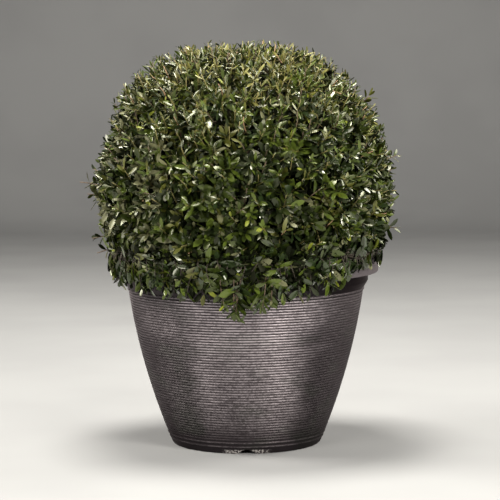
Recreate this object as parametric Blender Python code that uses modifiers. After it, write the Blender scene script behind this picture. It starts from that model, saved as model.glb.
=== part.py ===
"""A clipped Japanese holly ball in its round ribbed pot, at real size in metres.

The pot stands on z = 0 with its axis on the Z axis, and -Y is its front. A short trunk
rises out of the potting mix, six boughs leave it in turn, and seven masses of foliage
make the ball: one on top and six round the sides. Each mass grows from one stem that
meets the tip of its bough, or of the trunk. All places follow from the sizes below.
"""

import math
import random

import bmesh
import bpy
from mathutils import Matrix, Vector

OBJECT_NAME = "japanese_holly_shrub"
CUTTER_NAME = "cutters"
PIECES_NAME = "mass_pieces"

# Clearances between neighbouring solids
TOUCH_GAP = 0.0003
WALL_GAP = 0.0004
MASS_GAP = 0.0016
POT_CLEARANCE = 0.004

# Round pot: heights are measured from the surface that it stands on
POT_HEIGHT = 0.246
RIM_RADIUS = 0.178
RIM_DEPTH = 0.015
RIM_CORNER = 0.0045
RIM_UNDER_CORNER = 0.002
COLLAR_RADIUS = 0.1643
COLLAR_FOOT = 0.2185
LEDGE_HEIGHT = 0.2100
LEDGE_RADIUS = 0.1580
BEAD_DEPTH = 0.0032
BEAD_PROUD = 0.0012
BASE_RADIUS = 0.0998
BELLY = 0.0072
WALL = 0.004
FOOT_WIDTH = 0.012
FOOT_CHAMFER = 0.0012
RECESS = 0.007
FLOOR = 0.005
TURN_STEPS = 40
BODY_STEPS = 5

# Drainage: arched notches through the foot ring and round holes through the floor
NOTCH_COUNT = 4
NOTCH_WIDTH = 0.024
NOTCH_HEIGHT = 0.006
NOTCH_SIDES = 24
HOLE_COUNT = 4
HOLE_RADIUS = 0.006
HOLE_CIRCLE = 0.062
HOLE_SIDES = 12

# Potting mix
MIX_LEVEL = 0.222

# Crown: a ball a little flatter above than it is wide
CROWN_CENTRE = Vector((-0.002, 0.0, 0.344))
CROWN_RADIUS = 0.2115
CROWN_RISE = 0.195
CROWN_DROP = 0.200
TOP_EDGE = math.radians(42.0)
SIDE_BOTTOM = math.radians(-46.0)
CORE_BOTTOM = math.radians(-39.0)
LOWEST_ROOT = math.radians(-33.0)
CORE_OUTER = 0.86
CORE_THICKNESS = 0.028
CORE_ROUGHNESS = 0.004
SIDES = 6
SIDE_NAMES = ("front", "front_right", "back_right", "back", "back_left", "front_left")
FRONT_ANGLE = math.radians(-90.0)

# Trunk and boughs
TRUNK_TIP = 0.430
TRUNK_FOOT_RADIUS = 0.0175
TRUNK_RADIUS = 0.0110
TRUNK_TIP_RADIUS = 0.0055
FLARE_HEIGHT = 0.022
TRUNK_LEAN = 0.006
TRUNK_STEPS = 9
BOUGH_RADIUS = 0.0062
BOUGH_TIP_RADIUS = 0.0040
BOUGH_LOWEST = 0.262
BOUGH_RISE = 0.0135
BOUGH_TURN_ORDER = (0, 3, 1, 4, 2, 5)
BOUGH_STEPS = 7
BOUGH_REACH = 0.52
BOUGH_ARCH = 0.18
HEART_LATITUDE = math.radians(4.0)

# Shoots and leaves
SHOOTS = 108
SHOOT_ROOT = 0.80
SHOOT_TIP = 0.910
SHOOT_TIP_SPREAD = 0.020
SHOOT_JITTER = 0.10
SHOOT_RADIUS = 0.0028
SHOOT_TIP_RADIUS = 0.0017
STEM_SIDES = 6
STEM_STRAIGHT = 0.012
STEM_TAPER = 0.7
TWIG_SIDES = 3
LEAVES_PER_SHOOT = 3
LEAF_FIRST = 0.04
LEAF_STEP = 0.24
LEAF_SIZES = (0.82, 1.08)
LEAF_LENGTH = 0.047
LEAF_WIDTH = 0.028
LEAF_WIDEST = 0.56
LEAF_THICKNESS = 0.0026
LEAF_DROOP = 0.10
LEAF_SINK = 0.0022
LEAF_REACH = 1.02
LEAF_TIP_DEPTHS = (0.965, 1.012)
YOUNG_LEAF = 0.62
YOUNG_SPREAD = math.radians(28.0)
LEAF_STEEPEST = 0.97
LEAF_FLATTEST = 0.15
LEAF_TURNS = 4
LEAF_TILT = 0.45
LEAF_SPACING = 0.028
HANGING_LEAF_SPREAD = math.radians(34.0)
GOLDEN_ANGLE = math.pi * (3.0 - math.sqrt(5.0))
SEED = 20

# Shoots that hang over the rim: how many in each side mass, and how low each goes
HANGING_SHOOTS = {"front": 5, "front_left": 5, "front_right": 4}
HANGING_DEFAULT = 3
HANGING_ARC = 0.85
HANG_OVER = (-0.004, 0.019)
HANG_PAST = (0.015, -0.004)
HANG_LOW = (0.014, -0.020)
HANG_SPREAD = 0.010
HANG_LOWEST = 0.190


# Scene helpers

def clear_scene():
    """Remove every object, so that the file holds only this model."""
    for item in list(bpy.data.objects):
        bpy.data.objects.remove(item, do_unlink=True)


def add_collection(name):
    """Return a new collection linked to the scene."""
    collection = bpy.data.collections.new(name)
    bpy.context.scene.collection.children.link(collection)
    return collection


def add_object(name, mesh, collection, material=None):
    """Link a mesh into a collection as a named object."""
    item = bpy.data.objects.new(name, mesh)
    collection.objects.link(item)
    if material is not None:
        mesh.materials.append(material)
    return item


def mesh_from(bm, name):
    """Turn a bmesh into a mesh data block and free it."""
    mesh = bpy.data.meshes.new(name)
    bm.to_mesh(mesh)
    bm.free()
    return mesh


def evaluated_mesh(item):
    """Return a new mesh with the object's modifiers applied."""
    depsgraph = bpy.context.evaluated_depsgraph_get()
    return bpy.data.meshes.new_from_object(item.evaluated_get(depsgraph))


def apply_modifiers(item):
    """Replace an object's mesh with its evaluated one."""
    mesh = evaluated_mesh(item)
    item.modifiers.clear()
    item.data = mesh


def as_cutter(item):
    """Keep a cutter out of the model and out of renders."""
    item.hide_render = True
    item.display_type = "WIRE"
    return item


def smooth(item, angle=math.radians(40.0)):
    """Shade a round piece smooth, with its sharp edges kept."""
    item.data.shade_smooth()
    item.data.set_sharp_from_angle(angle=angle)


# Materials

def plain_material(name, colour, roughness, metallic=0.0):
    """Make a Principled material from a colour, a roughness and a metallic value."""
    material = bpy.data.materials.new(name)
    material.use_nodes = True
    shader = material.node_tree.nodes["Principled BSDF"]
    shader.inputs["Base Color"].default_value = (*colour, 1.0)
    shader.inputs["Roughness"].default_value = roughness
    shader.inputs["Metallic"].default_value = metallic
    return material


def pot_material():
    """Dark pewter-brown glazed finish of the pot."""
    return plain_material("pot_finish", (0.10, 0.088, 0.082), 0.42, 0.35)


def mix_material():
    """Moist dark potting mix."""
    return plain_material("potting_mix", (0.045, 0.032, 0.024), 0.95)


def bark_material(name):
    """Grey-brown bark."""
    return plain_material(name, (0.16, 0.125, 0.095), 0.85)


def leaf_material(name, lightness):
    """Dark holly green, a little lighter or darker from mass to mass."""
    return plain_material(name, (0.030 * lightness, 0.085 * lightness, 0.028 * lightness), 0.45)


# Pot

def body_radius(height):
    """Outer radius of the pot's body, slightly bellied between foot and ledge."""
    share = height / LEDGE_HEIGHT
    straight = BASE_RADIUS + (LEDGE_RADIUS - BASE_RADIUS) * share
    return straight + 4.0 * BELLY * share * (1.0 - share)


def inner_profile(lowest, gap=0.0):
    """Points (radius, height) up the inside of the wall, from the floor to the collar."""
    heights = [lowest + (LEDGE_HEIGHT - lowest) * i / BODY_STEPS for i in range(BODY_STEPS + 1)]
    points = [(body_radius(height) - WALL - gap, height) for height in heights]
    points.append((COLLAR_RADIUS - WALL - gap, COLLAR_FOOT))
    return points


def corner_arc(centre, radius, first, last, steps):
    """Points of a rounded corner, between two angles in degrees."""
    points = []
    for i in range(steps + 1):
        angle = math.radians(first + (last - first) * i / steps)
        points.append((centre[0] + radius * math.cos(angle), centre[1] + radius * math.sin(angle)))
    return points


def rim_profile():
    """Points over the rim, from its inner edge round to the underside of the band."""
    inner = COLLAR_RADIUS - WALL
    under = POT_HEIGHT - RIM_DEPTH
    top_corner = (RIM_RADIUS - RIM_CORNER, POT_HEIGHT - RIM_CORNER)
    inner_corner = (inner + RIM_UNDER_CORNER, POT_HEIGHT - RIM_UNDER_CORNER)
    low_corner = (RIM_RADIUS - RIM_UNDER_CORNER, under + RIM_UNDER_CORNER)
    points = corner_arc(inner_corner, RIM_UNDER_CORNER, 180.0, 90.0, 1)
    points += corner_arc(top_corner, RIM_CORNER, 90.0, 0.0, 2)
    points += corner_arc(low_corner, RIM_UNDER_CORNER, 0.0, -90.0, 1)
    return points


def outer_profile():
    """Points down the outside, from the collar under the rim to the foot's edge."""
    points = [(COLLAR_RADIUS, POT_HEIGHT - RIM_DEPTH), (COLLAR_RADIUS, COLLAR_FOOT)]
    points.append((LEDGE_RADIUS + BEAD_PROUD, LEDGE_HEIGHT))
    points.append((LEDGE_RADIUS + BEAD_PROUD, LEDGE_HEIGHT - BEAD_DEPTH))
    for i in range(BODY_STEPS + 1):
        height = (LEDGE_HEIGHT - BEAD_DEPTH) * (1.0 - i / BODY_STEPS)
        points.append((body_radius(max(height, FOOT_CHAMFER)), max(height, FOOT_CHAMFER)))
    points.append((BASE_RADIUS - FOOT_CHAMFER, 0.0))
    return points


def pot_profile():
    """The pot's whole section, from the axis up the inside and down the outside."""
    floor_top = RECESS + FLOOR
    foot_inner = BASE_RADIUS - FOOT_WIDTH
    points = [(0.0, floor_top)]
    points += inner_profile(floor_top)
    points += rim_profile()
    points += outer_profile()
    points += [(foot_inner, 0.0), (foot_inner, RECESS), (0.0, RECESS)]
    return points


def turned(name, profile, collection, material):
    """Turn a profile about the Z axis with a Screw modifier."""
    bm = bmesh.new()
    verts = [bm.verts.new((radius, 0.0, height)) for radius, height in profile]
    for first, second in zip(verts, verts[1:]):
        bm.edges.new((first, second))
    item = add_object(name, mesh_from(bm, name), collection, material)
    screw = item.modifiers.new("turn", "SCREW")
    screw.steps = TURN_STEPS
    screw.render_steps = TURN_STEPS
    screw.use_merge_vertices = True
    screw.merge_threshold = 0.0001
    return item


def cylinder_cutter(name, radius, depth, sides, matrix, collection):
    """A closed cylinder that cuts, placed by a matrix."""
    bm = bmesh.new()
    bmesh.ops.create_cone(bm, cap_ends=True, segments=sides, radius1=radius, radius2=radius,
                          depth=depth, matrix=matrix)
    return as_cutter(add_object(name, mesh_from(bm, name), collection))


def notch_cutter(index, collection):
    """One arched notch: the top of a cylinder that lies across the foot ring."""
    half = NOTCH_WIDTH / 2.0
    radius = (half * half + NOTCH_HEIGHT * NOTCH_HEIGHT) / (2.0 * NOTCH_HEIGHT)
    angle = FRONT_ANGLE + index * 2.0 * math.pi / NOTCH_COUNT
    middle = Vector((BASE_RADIUS - FOOT_WIDTH / 2.0, 0.0, NOTCH_HEIGHT - radius))
    lying = Matrix.Rotation(math.pi / 2.0, 4, "Y")
    matrix = Matrix.Rotation(angle, 4, "Z") @ Matrix.Translation(middle) @ lying
    name = "notch_cutter_%d" % index
    return cylinder_cutter(name, radius, FOOT_WIDTH * 2.0, NOTCH_SIDES, matrix, collection)


def hole_cutter(index, collection):
    """One drain hole through the floor; the last one is in the middle."""
    angle = FRONT_ANGLE + (index + 0.5) * 2.0 * math.pi / HOLE_COUNT
    reach = HOLE_CIRCLE if index < HOLE_COUNT else 0.0
    middle = Vector((reach * math.cos(angle), reach * math.sin(angle), RECESS + FLOOR / 2.0))
    name = "hole_cutter_%d" % index
    matrix = Matrix.Translation(middle)
    return cylinder_cutter(name, HOLE_RADIUS, FLOOR * 2.0, HOLE_SIDES, matrix, collection)


def cut(item, cutter):
    """Cut one object with another."""
    boolean = item.modifiers.new("cut", "BOOLEAN")
    boolean.operation = "DIFFERENCE"
    boolean.solver = "EXACT"
    boolean.object = cutter


def build_pot(collection, cutters):
    """The pot's shell, with its foot notches and drain holes."""
    pot = turned("pot", pot_profile(), collection, pot_material())
    for index in range(NOTCH_COUNT):
        cut(pot, notch_cutter(index, cutters))
    for index in range(HOLE_COUNT + 1):
        cut(pot, hole_cutter(index, cutters))
    smooth(pot)
    return pot


def build_potting_mix(collection):
    """The potting mix that fills the pot to just under its rim."""
    bottom = RECESS + FLOOR + TOUCH_GAP
    wall = inner_profile(bottom, WALL_GAP)
    profile = [(0.0, MIX_LEVEL), (wall[-1][0], MIX_LEVEL)]
    profile += list(reversed(wall))
    profile.append((0.0, bottom))
    return turned("potting_mix", profile, collection, mix_material())


# Limbs

def limb_mesh(name, points, radii, bevel_resolution=2):
    """A tapering round limb along a path, as one closed mesh."""
    curve = bpy.data.curves.new(name, "CURVE")
    curve.dimensions = "3D"
    curve.bevel_depth = 1.0
    curve.bevel_resolution = bevel_resolution
    curve.use_fill_caps = True
    spline = curve.splines.new("POLY")
    spline.points.add(len(points) - 1)
    for place, point, radius in zip(spline.points, points, radii):
        place.co = (*point, 1.0)
        place.radius = radius
    item = bpy.data.objects.new(name, curve)
    bpy.context.scene.collection.objects.link(item)
    mesh = evaluated_mesh(item)
    bpy.data.objects.remove(item, do_unlink=True)
    bm = bmesh.new()
    bm.from_mesh(mesh)
    bpy.data.meshes.remove(mesh)
    bmesh.ops.remove_doubles(bm, verts=bm.verts, dist=0.00001)
    bmesh.ops.recalc_face_normals(bm, faces=bm.faces)
    return mesh_from(bm, name)


def trunk_point(height):
    """Middle of the trunk at a height, leaning and bending a little as it rises."""
    straight = MIX_LEVEL + TOUCH_GAP + FLARE_HEIGHT
    share = max(0.0, (height - straight) / (TRUNK_TIP - straight))
    sway = TRUNK_LEAN * math.sin(math.pi * share)
    return Vector((sway, -sway / 2.0, height))


def trunk_radius(height):
    """Radius of the trunk at a height, with its root flare at the bottom."""
    share = (height - MIX_LEVEL) / (TRUNK_TIP - MIX_LEVEL)
    taper = TRUNK_RADIUS + (TRUNK_TIP_RADIUS - TRUNK_RADIUS) * share
    fade = max(0.0, 1.0 - (height - MIX_LEVEL) / FLARE_HEIGHT)
    return taper + (TRUNK_FOOT_RADIUS - TRUNK_RADIUS) * fade * fade


def trunk_heights():
    """Heights of the trunk's rings, closer together in the root flare."""
    foot = MIX_LEVEL + TOUCH_GAP
    flare = [foot, foot + FLARE_HEIGHT / 3.0, foot + FLARE_HEIGHT]
    rest = [flare[-1] + (TRUNK_TIP - flare[-1]) * i / TRUNK_STEPS for i in range(1, TRUNK_STEPS + 1)]
    return flare + rest


def trunk_mesh(name, margin=0.0):
    """The trunk's mesh, or the same one grown by a margin for cutting."""
    heights = trunk_heights()
    points = [trunk_point(height) for height in heights]
    radii = [trunk_radius(height) + margin for height in heights]
    return limb_mesh(name, points, radii)


def side_angle(index):
    """Direction of a side mass and its bough, counted from the front."""
    return FRONT_ANGLE + index * 2.0 * math.pi / SIDES


def bough_points(index):
    """Path of one bough, from inside the trunk out and up to its mass."""
    start = trunk_point(BOUGH_LOWEST + BOUGH_RISE * BOUGH_TURN_ORDER[index])
    end = crown_point(side_angle(index), HEART_LATITUDE, BOUGH_REACH)
    elbow = start.lerp(end, 0.5)
    elbow.z += BOUGH_ARCH * (end - start).length
    points = []
    for i in range(BOUGH_STEPS + 1):
        share = i / BOUGH_STEPS
        points.append(start.lerp(elbow, share).lerp(elbow.lerp(end, share), share))
    return points


def build_trunk(collection):
    """The trunk from its flat cut at the mix to its tip under the top mass."""
    trunk = add_object("trunk", trunk_mesh("trunk"), collection, bark_material("trunk_bark"))
    smooth(trunk)
    return trunk


def build_bough(index, collection, cutter):
    """One bough, cut clear of the trunk where it leaves it."""
    name = "bough_" + SIDE_NAMES[index]
    points = bough_points(index)
    count = len(points) - 1
    radii = [BOUGH_RADIUS + (BOUGH_TIP_RADIUS - BOUGH_RADIUS) * i / count for i in range(count + 1)]
    bough = add_object(name, limb_mesh(name, points, radii), collection, bark_material(name + "_bark"))
    cut(bough, cutter)
    smooth(bough)
    return points


# The crown's outline and the space of each mass

def crown_point(longitude, latitude, depth):
    """A point of the crown: depth is 0 at its centre and 1 on its outline."""
    height = CROWN_RISE if latitude > 0.0 else CROWN_DROP
    flat = CROWN_RADIUS * math.cos(latitude) * depth
    offset = (flat * math.cos(longitude), flat * math.sin(longitude), height * math.sin(latitude) * depth)
    return CROWN_CENTRE + Vector(offset)


def crown_place(point):
    """The longitude, latitude and depth of a point, as crown_point takes them."""
    offset = point - CROWN_CENTRE
    height = CROWN_RISE if offset.z > 0.0 else CROWN_DROP
    flat = math.hypot(offset.x, offset.y) / CROWN_RADIUS
    rise = offset.z / height
    return math.atan2(offset.y, offset.x), math.atan2(rise, flat), math.hypot(flat, rise)


def clear_of_pot(point):
    """True where a point is above the rim, or outside it."""
    if point.z > POT_HEIGHT + POT_CLEARANCE:
        return True
    outside = math.hypot(point.x, point.y) > RIM_RADIUS + POT_CLEARANCE
    return outside and point.z > HANG_LOWEST


def side_offset(point, index):
    """How far a point is from the two upright planes that bound a side mass."""
    offset = point - CROWN_CENTRE
    turn = math.atan2(offset.y, offset.x) - side_angle(index)
    turn = (turn + math.pi) % (2.0 * math.pi) - math.pi
    return math.hypot(offset.x, offset.y) * math.sin(math.pi / SIDES - abs(turn))


def in_space(point, index, margin=0.0):
    """True where a point is inside the space of a mass by a margin; None is the top mass."""
    latitude, depth = crown_place(point)[1:]
    above_edge = CROWN_RISE * depth * math.sin(latitude - TOP_EDGE)
    least = MASS_GAP + margin
    if not clear_of_pot(point):
        return False
    if index is None:
        return above_edge > least
    return above_edge < -least and side_offset(point, index) > least


def held_in_space(longitude, latitude, index):
    """Move a place on the ball in from the edges of its mass, by a twig's thickness."""
    margin = (MASS_GAP + 2.0 * SHOOT_RADIUS) / (CROWN_RISE * SHOOT_ROOT)
    if index is None:
        return longitude, max(latitude, TOP_EDGE + margin)
    latitude = min(latitude, TOP_EDGE - margin)
    room = math.pi / SIDES - margin / math.cos(latitude)
    turn = (longitude - side_angle(index) + math.pi) % (2.0 * math.pi) - math.pi
    return side_angle(index) + max(-room, min(room, turn)), latitude


# Pieces of a mass

def rod(name, start, end, radii, sides, collection):
    """A straight tapering piece of stem or twig."""
    along = end - start
    bm = bmesh.new()
    matrix = Matrix.Translation((start + end) / 2.0) @ along.to_track_quat("Z", "X").to_matrix().to_4x4()
    bmesh.ops.create_cone(bm, cap_ends=True, segments=sides, radius1=radii[0], radius2=radii[1],
                          depth=along.length, matrix=matrix)
    return add_object(name, mesh_from(bm, name), collection)


def leaf_frame(root, direction, facing):
    """The matrix that lays a leaf along a direction with its upper side facing out."""
    along = direction.normalized()
    across = along.cross(facing).normalized()
    upper = across.cross(along)
    matrix = Matrix((across, along, upper)).transposed().to_4x4()
    return Matrix.Translation(root - along * LEAF_SINK) @ matrix


def leaf_points(matrix, length):
    """Points along the middle and the sides of a leaf, to test its space with."""
    half = LEAF_WIDTH * length / LEAF_LENGTH / 2.0
    middle = [(0.0, 0.4), (0.0, 0.7), (0.0, 1.02)]
    sides = [(side, LEAF_WIDEST) for side in (-half, half)]
    shoulders = [(side / 2.0, (LEAF_WIDEST + 1.0) / 2.0) for side in (-half, half)]
    return [matrix @ Vector((side, share * length, 0.0)) for side, share in middle + sides + shoulders]


def leaf_fits(matrix, length, index, middles):
    """True where a leaf stays in its space, inside the clipped outline and off its neighbours."""
    middle = matrix @ Vector((0.0, length / 2.0, 0.0))
    if any((middle - other).length < LEAF_SPACING for other in middles):
        return False
    for place in leaf_points(matrix, length):
        hanging = place.z < POT_HEIGHT + POT_CLEARANCE
        depth = math.hypot(place.x, place.y) / CROWN_RADIUS if hanging else crown_place(place)[2]
        if depth > LEAF_REACH or not in_space(place, index):
            return False
    return True


def add_leaf(name, matrix, length, collection):
    """One leaf of eight faces, widest past its middle, with a drooping tip; returns its middle."""
    bm = bmesh.new()
    bmesh.ops.create_uvsphere(bm, u_segments=4, v_segments=2, radius=0.5)
    width = LEAF_WIDTH * length / LEAF_LENGTH
    for vert in bm.verts:
        at_side = abs(vert.co.y) < abs(vert.co.x)
        share = LEAF_WIDEST if at_side else vert.co.y + 0.5
        drop = LEAF_DROOP * length * share * share
        vert.co = Vector((vert.co.x * width, share * length, vert.co.z * LEAF_THICKNESS - drop))
    bmesh.ops.transform(bm, matrix=matrix, verts=bm.verts)
    add_object(name, mesh_from(bm, name), collection)
    return matrix @ Vector((0.0, length / 2.0, 0.0))


def random_tangent(rng, direction):
    """A seeded unit vector at right angles to a direction."""
    turn = Vector((rng.gauss(0.0, 1.0), rng.gauss(0.0, 1.0), rng.gauss(0.0, 1.0)))
    return (turn - direction * turn.dot(direction)).normalized()


def leaf_spread(rng, root, length, along):
    """How far a leaf leans from its shoot, so that its tip ends on the clipped outline."""
    depth = crown_place(root)[2]
    if depth > LEAF_TIP_DEPTHS[0] or root.z < POT_HEIGHT + POT_CLEARANCE:
        return HANGING_LEAF_SPREAD
    share = (rng.uniform(*LEAF_TIP_DEPTHS) - depth) * CROWN_RISE / length
    return math.acos(min(LEAF_STEEPEST, max(LEAF_FLATTEST, share)))


def add_shoot_leaves(rng, index, points, name, collection, middles):
    """Leaves along the end of a shoot, each turned on from the one before."""
    along = (points[-1] - points[-2]).normalized()
    side = random_tangent(rng, along)
    for number in range(LEAVES_PER_SHOOT):
        root = points[-1].lerp(points[-2], LEAF_FIRST + LEAF_STEP * number)
        length = LEAF_LENGTH * rng.uniform(*LEAF_SIZES)
        spread = leaf_spread(rng, root, length, along)
        young = number == 0 and len(points) == 2
        if young:
            length *= YOUNG_LEAF
            spread = YOUNG_SPREAD
        tilt = random_tangent(rng, along) * LEAF_TILT
        for turn in range(LEAF_TURNS):
            angle = number * 2.0 * math.pi / LEAVES_PER_SHOOT + turn * GOLDEN_ANGLE
            around = Matrix.Rotation(angle, 3, along)
            outward = along * math.cos(spread) + (around @ side) * math.sin(spread)
            matrix = leaf_frame(root, outward, (root - CROWN_CENTRE).normalized() + tilt)
            if leaf_fits(matrix, length, index, [] if young else middles):
                middle = add_leaf("%s_leaf_%d" % (name, number), matrix, length, collection)
                if not young:
                    middles.append(middle)
                break


def add_shoot(rng, index, points, name, collection, middles):
    """A shoot along a path of a few points, thinner towards its tip, with its leaves."""
    if not all(in_space(point, index, SHOOT_RADIUS) for point in points):
        return
    count = len(points) - 1
    for number in range(count):
        thick = SHOOT_RADIUS + (SHOOT_TIP_RADIUS - SHOOT_RADIUS) * number / count
        thin = SHOOT_RADIUS + (SHOOT_TIP_RADIUS - SHOOT_RADIUS) * (number + 1) / count
        overlap = (points[number + 1] - points[number]).normalized() * thin * 0.5
        start = points[number] - overlap
        end = points[number + 1] + overlap
        rod("%s_%d" % (name, number), start, end, (thick, thin), TWIG_SIDES, collection)
    add_shoot_leaves(rng, index, points, name, collection, middles)


def shoot_places():
    """Even places all over the ball, on a golden-angle spiral from top to bottom."""
    highest = 1.0
    lowest = math.sin(SIDE_BOTTOM)
    for number in range(SHOOTS):
        rise = highest + (lowest - highest) * (number + 0.5) / SHOOTS
        longitude = (number * GOLDEN_ANGLE) % (2.0 * math.pi)
        yield longitude, math.asin(rise)


def place_mass(longitude, latitude):
    """The mass that a place on the ball belongs to: a side index, or None for the top."""
    if latitude > TOP_EDGE:
        return None
    turn = (longitude - FRONT_ANGLE) / (2.0 * math.pi / SIDES)
    return int(round(turn)) % SIDES


def clipped_shoots(rng, index, collection, middles):
    """The even shoots of one mass, which end just inside the clipped outline."""
    for number, (longitude, latitude) in enumerate(shoot_places()):
        jitter = (rng.uniform(-1.0, 1.0), rng.uniform(-1.0, 1.0), rng.uniform(-1.0, 1.0))
        if place_mass(longitude, latitude) != index:
            continue
        start = held_in_space(longitude, max(latitude, LOWEST_ROOT), index)
        longitude += jitter[0] * SHOOT_JITTER
        latitude += jitter[1] * SHOOT_JITTER
        end = held_in_space(longitude, latitude, index)
        root = crown_point(*start, SHOOT_ROOT)
        tip = crown_point(*end, SHOOT_TIP + jitter[2] * SHOOT_TIP_SPREAD)
        add_shoot(rng, index, [root, tip], "shoot_%d" % number, collection, middles)


def hanging_shoots(rng, index, collection, middles):
    """Shoots that arch over the rim and hang outside it."""
    count = HANGING_SHOOTS.get(SIDE_NAMES[index], HANGING_DEFAULT)
    for number in range(count):
        share = 2.0 * (number + 0.5) / count - 1.0
        longitude = side_angle(index) + share * HANGING_ARC * math.pi / SIDES
        points = [crown_point(longitude, LOWEST_ROOT, SHOOT_ROOT)]
        drop = rng.uniform(-HANG_SPREAD, HANG_SPREAD)
        for reach, rise in (HANG_OVER, HANG_PAST, (HANG_LOW[0], HANG_LOW[1] + drop)):
            radius = RIM_RADIUS + reach
            place = (radius * math.cos(longitude), radius * math.sin(longitude), POT_HEIGHT + rise)
            points.append(Vector(place))
        add_shoot(rng, index, points, "hanging_%d" % number, collection, middles)


# Cores

def rough_depth(rng):
    """Depth of a point of a core's outer face, a little uneven."""
    return CORE_OUTER + rng.uniform(-CORE_ROUGHNESS, CORE_ROUGHNESS) / CROWN_RADIUS


def thicken_core(bm):
    """Close a core's outer face into a solid, by a second face nearer the crown's centre."""
    inner = bmesh.ops.extrude_face_region(bm, geom=bm.faces[:], use_keep_orig=True)["geom"]
    for vert in inner:
        if isinstance(vert, bmesh.types.BMVert):
            longitude, latitude, depth = crown_place(vert.co)
            vert.co = crown_point(longitude, latitude, depth - CORE_THICKNESS / CROWN_RADIUS)
    bmesh.ops.recalc_face_normals(bm, faces=bm.faces)


def side_core_mesh(rng, index):
    """The core of a side mass: a thick patch wrapped on the ball."""
    bm = bmesh.new()
    bmesh.ops.create_grid(bm, x_segments=4, y_segments=6, size=0.5)
    middle = (TOP_EDGE + CORE_BOTTOM) / 2.0
    for vert in bm.verts:
        latitude = middle + vert.co.y * (TOP_EDGE - CORE_BOTTOM - 3.0 * MASS_GAP / CROWN_RADIUS)
        around = CROWN_RADIUS * (CORE_OUTER - CORE_THICKNESS / CROWN_RADIUS) * math.cos(latitude)
        share = 1.0 - MASS_GAP / (around * math.pi / SIDES)
        longitude = side_angle(index) + vert.co.x * share * 2.0 * math.pi / SIDES
        vert.co = crown_point(longitude, latitude, rough_depth(rng))
    thicken_core(bm)
    return mesh_from(bm, "core")


def top_core_mesh(rng):
    """The core of the top mass: a thick cap of the ball."""
    bm = bmesh.new()
    bmesh.ops.create_uvsphere(bm, u_segments=18, v_segments=16, radius=1.0)
    edge = TOP_EDGE + 3.0 * MASS_GAP / CROWN_RADIUS
    below = [vert for vert in bm.verts if vert.co.z < math.sin(TOP_EDGE)]
    bmesh.ops.delete(bm, geom=below, context="VERTS")
    lowest = math.asin(min(vert.co.z for vert in bm.verts))
    for vert in bm.verts:
        share = (math.asin(min(1.0, vert.co.z)) - lowest) / (math.pi / 2.0 - lowest)
        latitude = edge + share * (math.pi / 2.0 - edge)
        longitude = math.atan2(vert.co.y, vert.co.x)
        vert.co = crown_point(longitude, latitude, rough_depth(rng))
    thicken_core(bm)
    return mesh_from(bm, "core")


# Masses of foliage

def drop_scraps(item):
    """Keep only the largest joined body of a mass."""
    bm = bmesh.new()
    bm.from_mesh(item.data)
    seen = set()
    bodies = []
    for vert in bm.verts:
        if vert in seen:
            continue
        body = {vert}
        edge = [vert]
        while edge:
            place = edge.pop()
            for link in place.link_edges:
                other = link.other_vert(place)
                if other not in body:
                    body.add(other)
                    edge.append(other)
        seen |= body
        bodies.append(body)
    bodies.sort(key=len, reverse=True)
    scraps = [vert for body in bodies[1:] for vert in body]
    bmesh.ops.delete(bm, geom=scraps, context="VERTS")
    bm.to_mesh(item.data)
    bm.free()


def join_mass(core, pieces):
    """Fuse the stem, shoots and leaves on to the core, and remove the loose pieces."""
    union = core.modifiers.new("join", "BOOLEAN")
    union.operation = "UNION"
    union.operand_type = "COLLECTION"
    union.collection = pieces
    union.solver = "EXACT"
    apply_modifiers(core)
    for item in list(pieces.objects):
        bpy.data.objects.remove(item, do_unlink=True)
    drop_scraps(core)


def add_stem(limb_end, limb_before, radius, heart, collection):
    """The stem of a mass: it starts clear of its limb's tip and runs into the core."""
    along = (limb_end - limb_before).normalized()
    start = limb_end + along * TOUCH_GAP
    bend = start + along * STEM_STRAIGHT
    rod("stem_0", start, bend + along * radius / 2.0, (radius, radius), STEM_SIDES, collection)
    rod("stem_1", bend, heart, (radius, radius * STEM_TAPER), STEM_SIDES, collection)


def build_side_mass(index, bough, collection, pieces):
    """One side mass of foliage on its bough."""
    name = "foliage_" + SIDE_NAMES[index]
    rng = random.Random(SEED + index)
    material = leaf_material(name + "_leaves", 1.0 + 0.16 * (index % 2))
    core = add_object(name, side_core_mesh(rng, index), collection, material)
    heart = crown_point(side_angle(index), HEART_LATITUDE, SHOOT_ROOT)
    add_stem(bough[-1], bough[-2], BOUGH_TIP_RADIUS, heart, pieces)
    middles = []
    hanging_shoots(rng, index, pieces, middles)
    clipped_shoots(rng, index, pieces, middles)
    join_mass(core, pieces)


def build_top_mass(collection, pieces):
    """The top mass of foliage on the tip of the trunk."""
    rng = random.Random(SEED + SIDES)
    material = leaf_material("foliage_top_leaves", 1.3)
    core = add_object("foliage_top", top_core_mesh(rng), collection, material)
    heights = trunk_heights()
    heart = crown_point(0.0, math.pi / 2.0, SHOOT_ROOT)
    add_stem(trunk_point(heights[-1]), trunk_point(heights[-2]), TRUNK_TIP_RADIUS, heart, pieces)
    clipped_shoots(rng, None, pieces, [])
    join_mass(core, pieces)


def main():
    """Build the pot, the limbs and the foliage."""
    clear_scene()
    collection = add_collection(OBJECT_NAME)
    cutters = add_collection(CUTTER_NAME)
    pieces = add_collection(PIECES_NAME)
    build_pot(collection, cutters)
    build_potting_mix(collection)
    build_trunk(collection)
    grown = as_cutter(add_object("trunk_cutter", trunk_mesh("trunk_cutter", TOUCH_GAP * 1.4), cutters))
    boughs = [build_bough(index, collection, grown) for index in range(SIDES)]
    for index, bough in enumerate(boughs):
        build_side_mass(index, bough, collection, pieces)
    build_top_mass(collection, pieces)
    bpy.data.collections.remove(pieces)


main()
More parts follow.
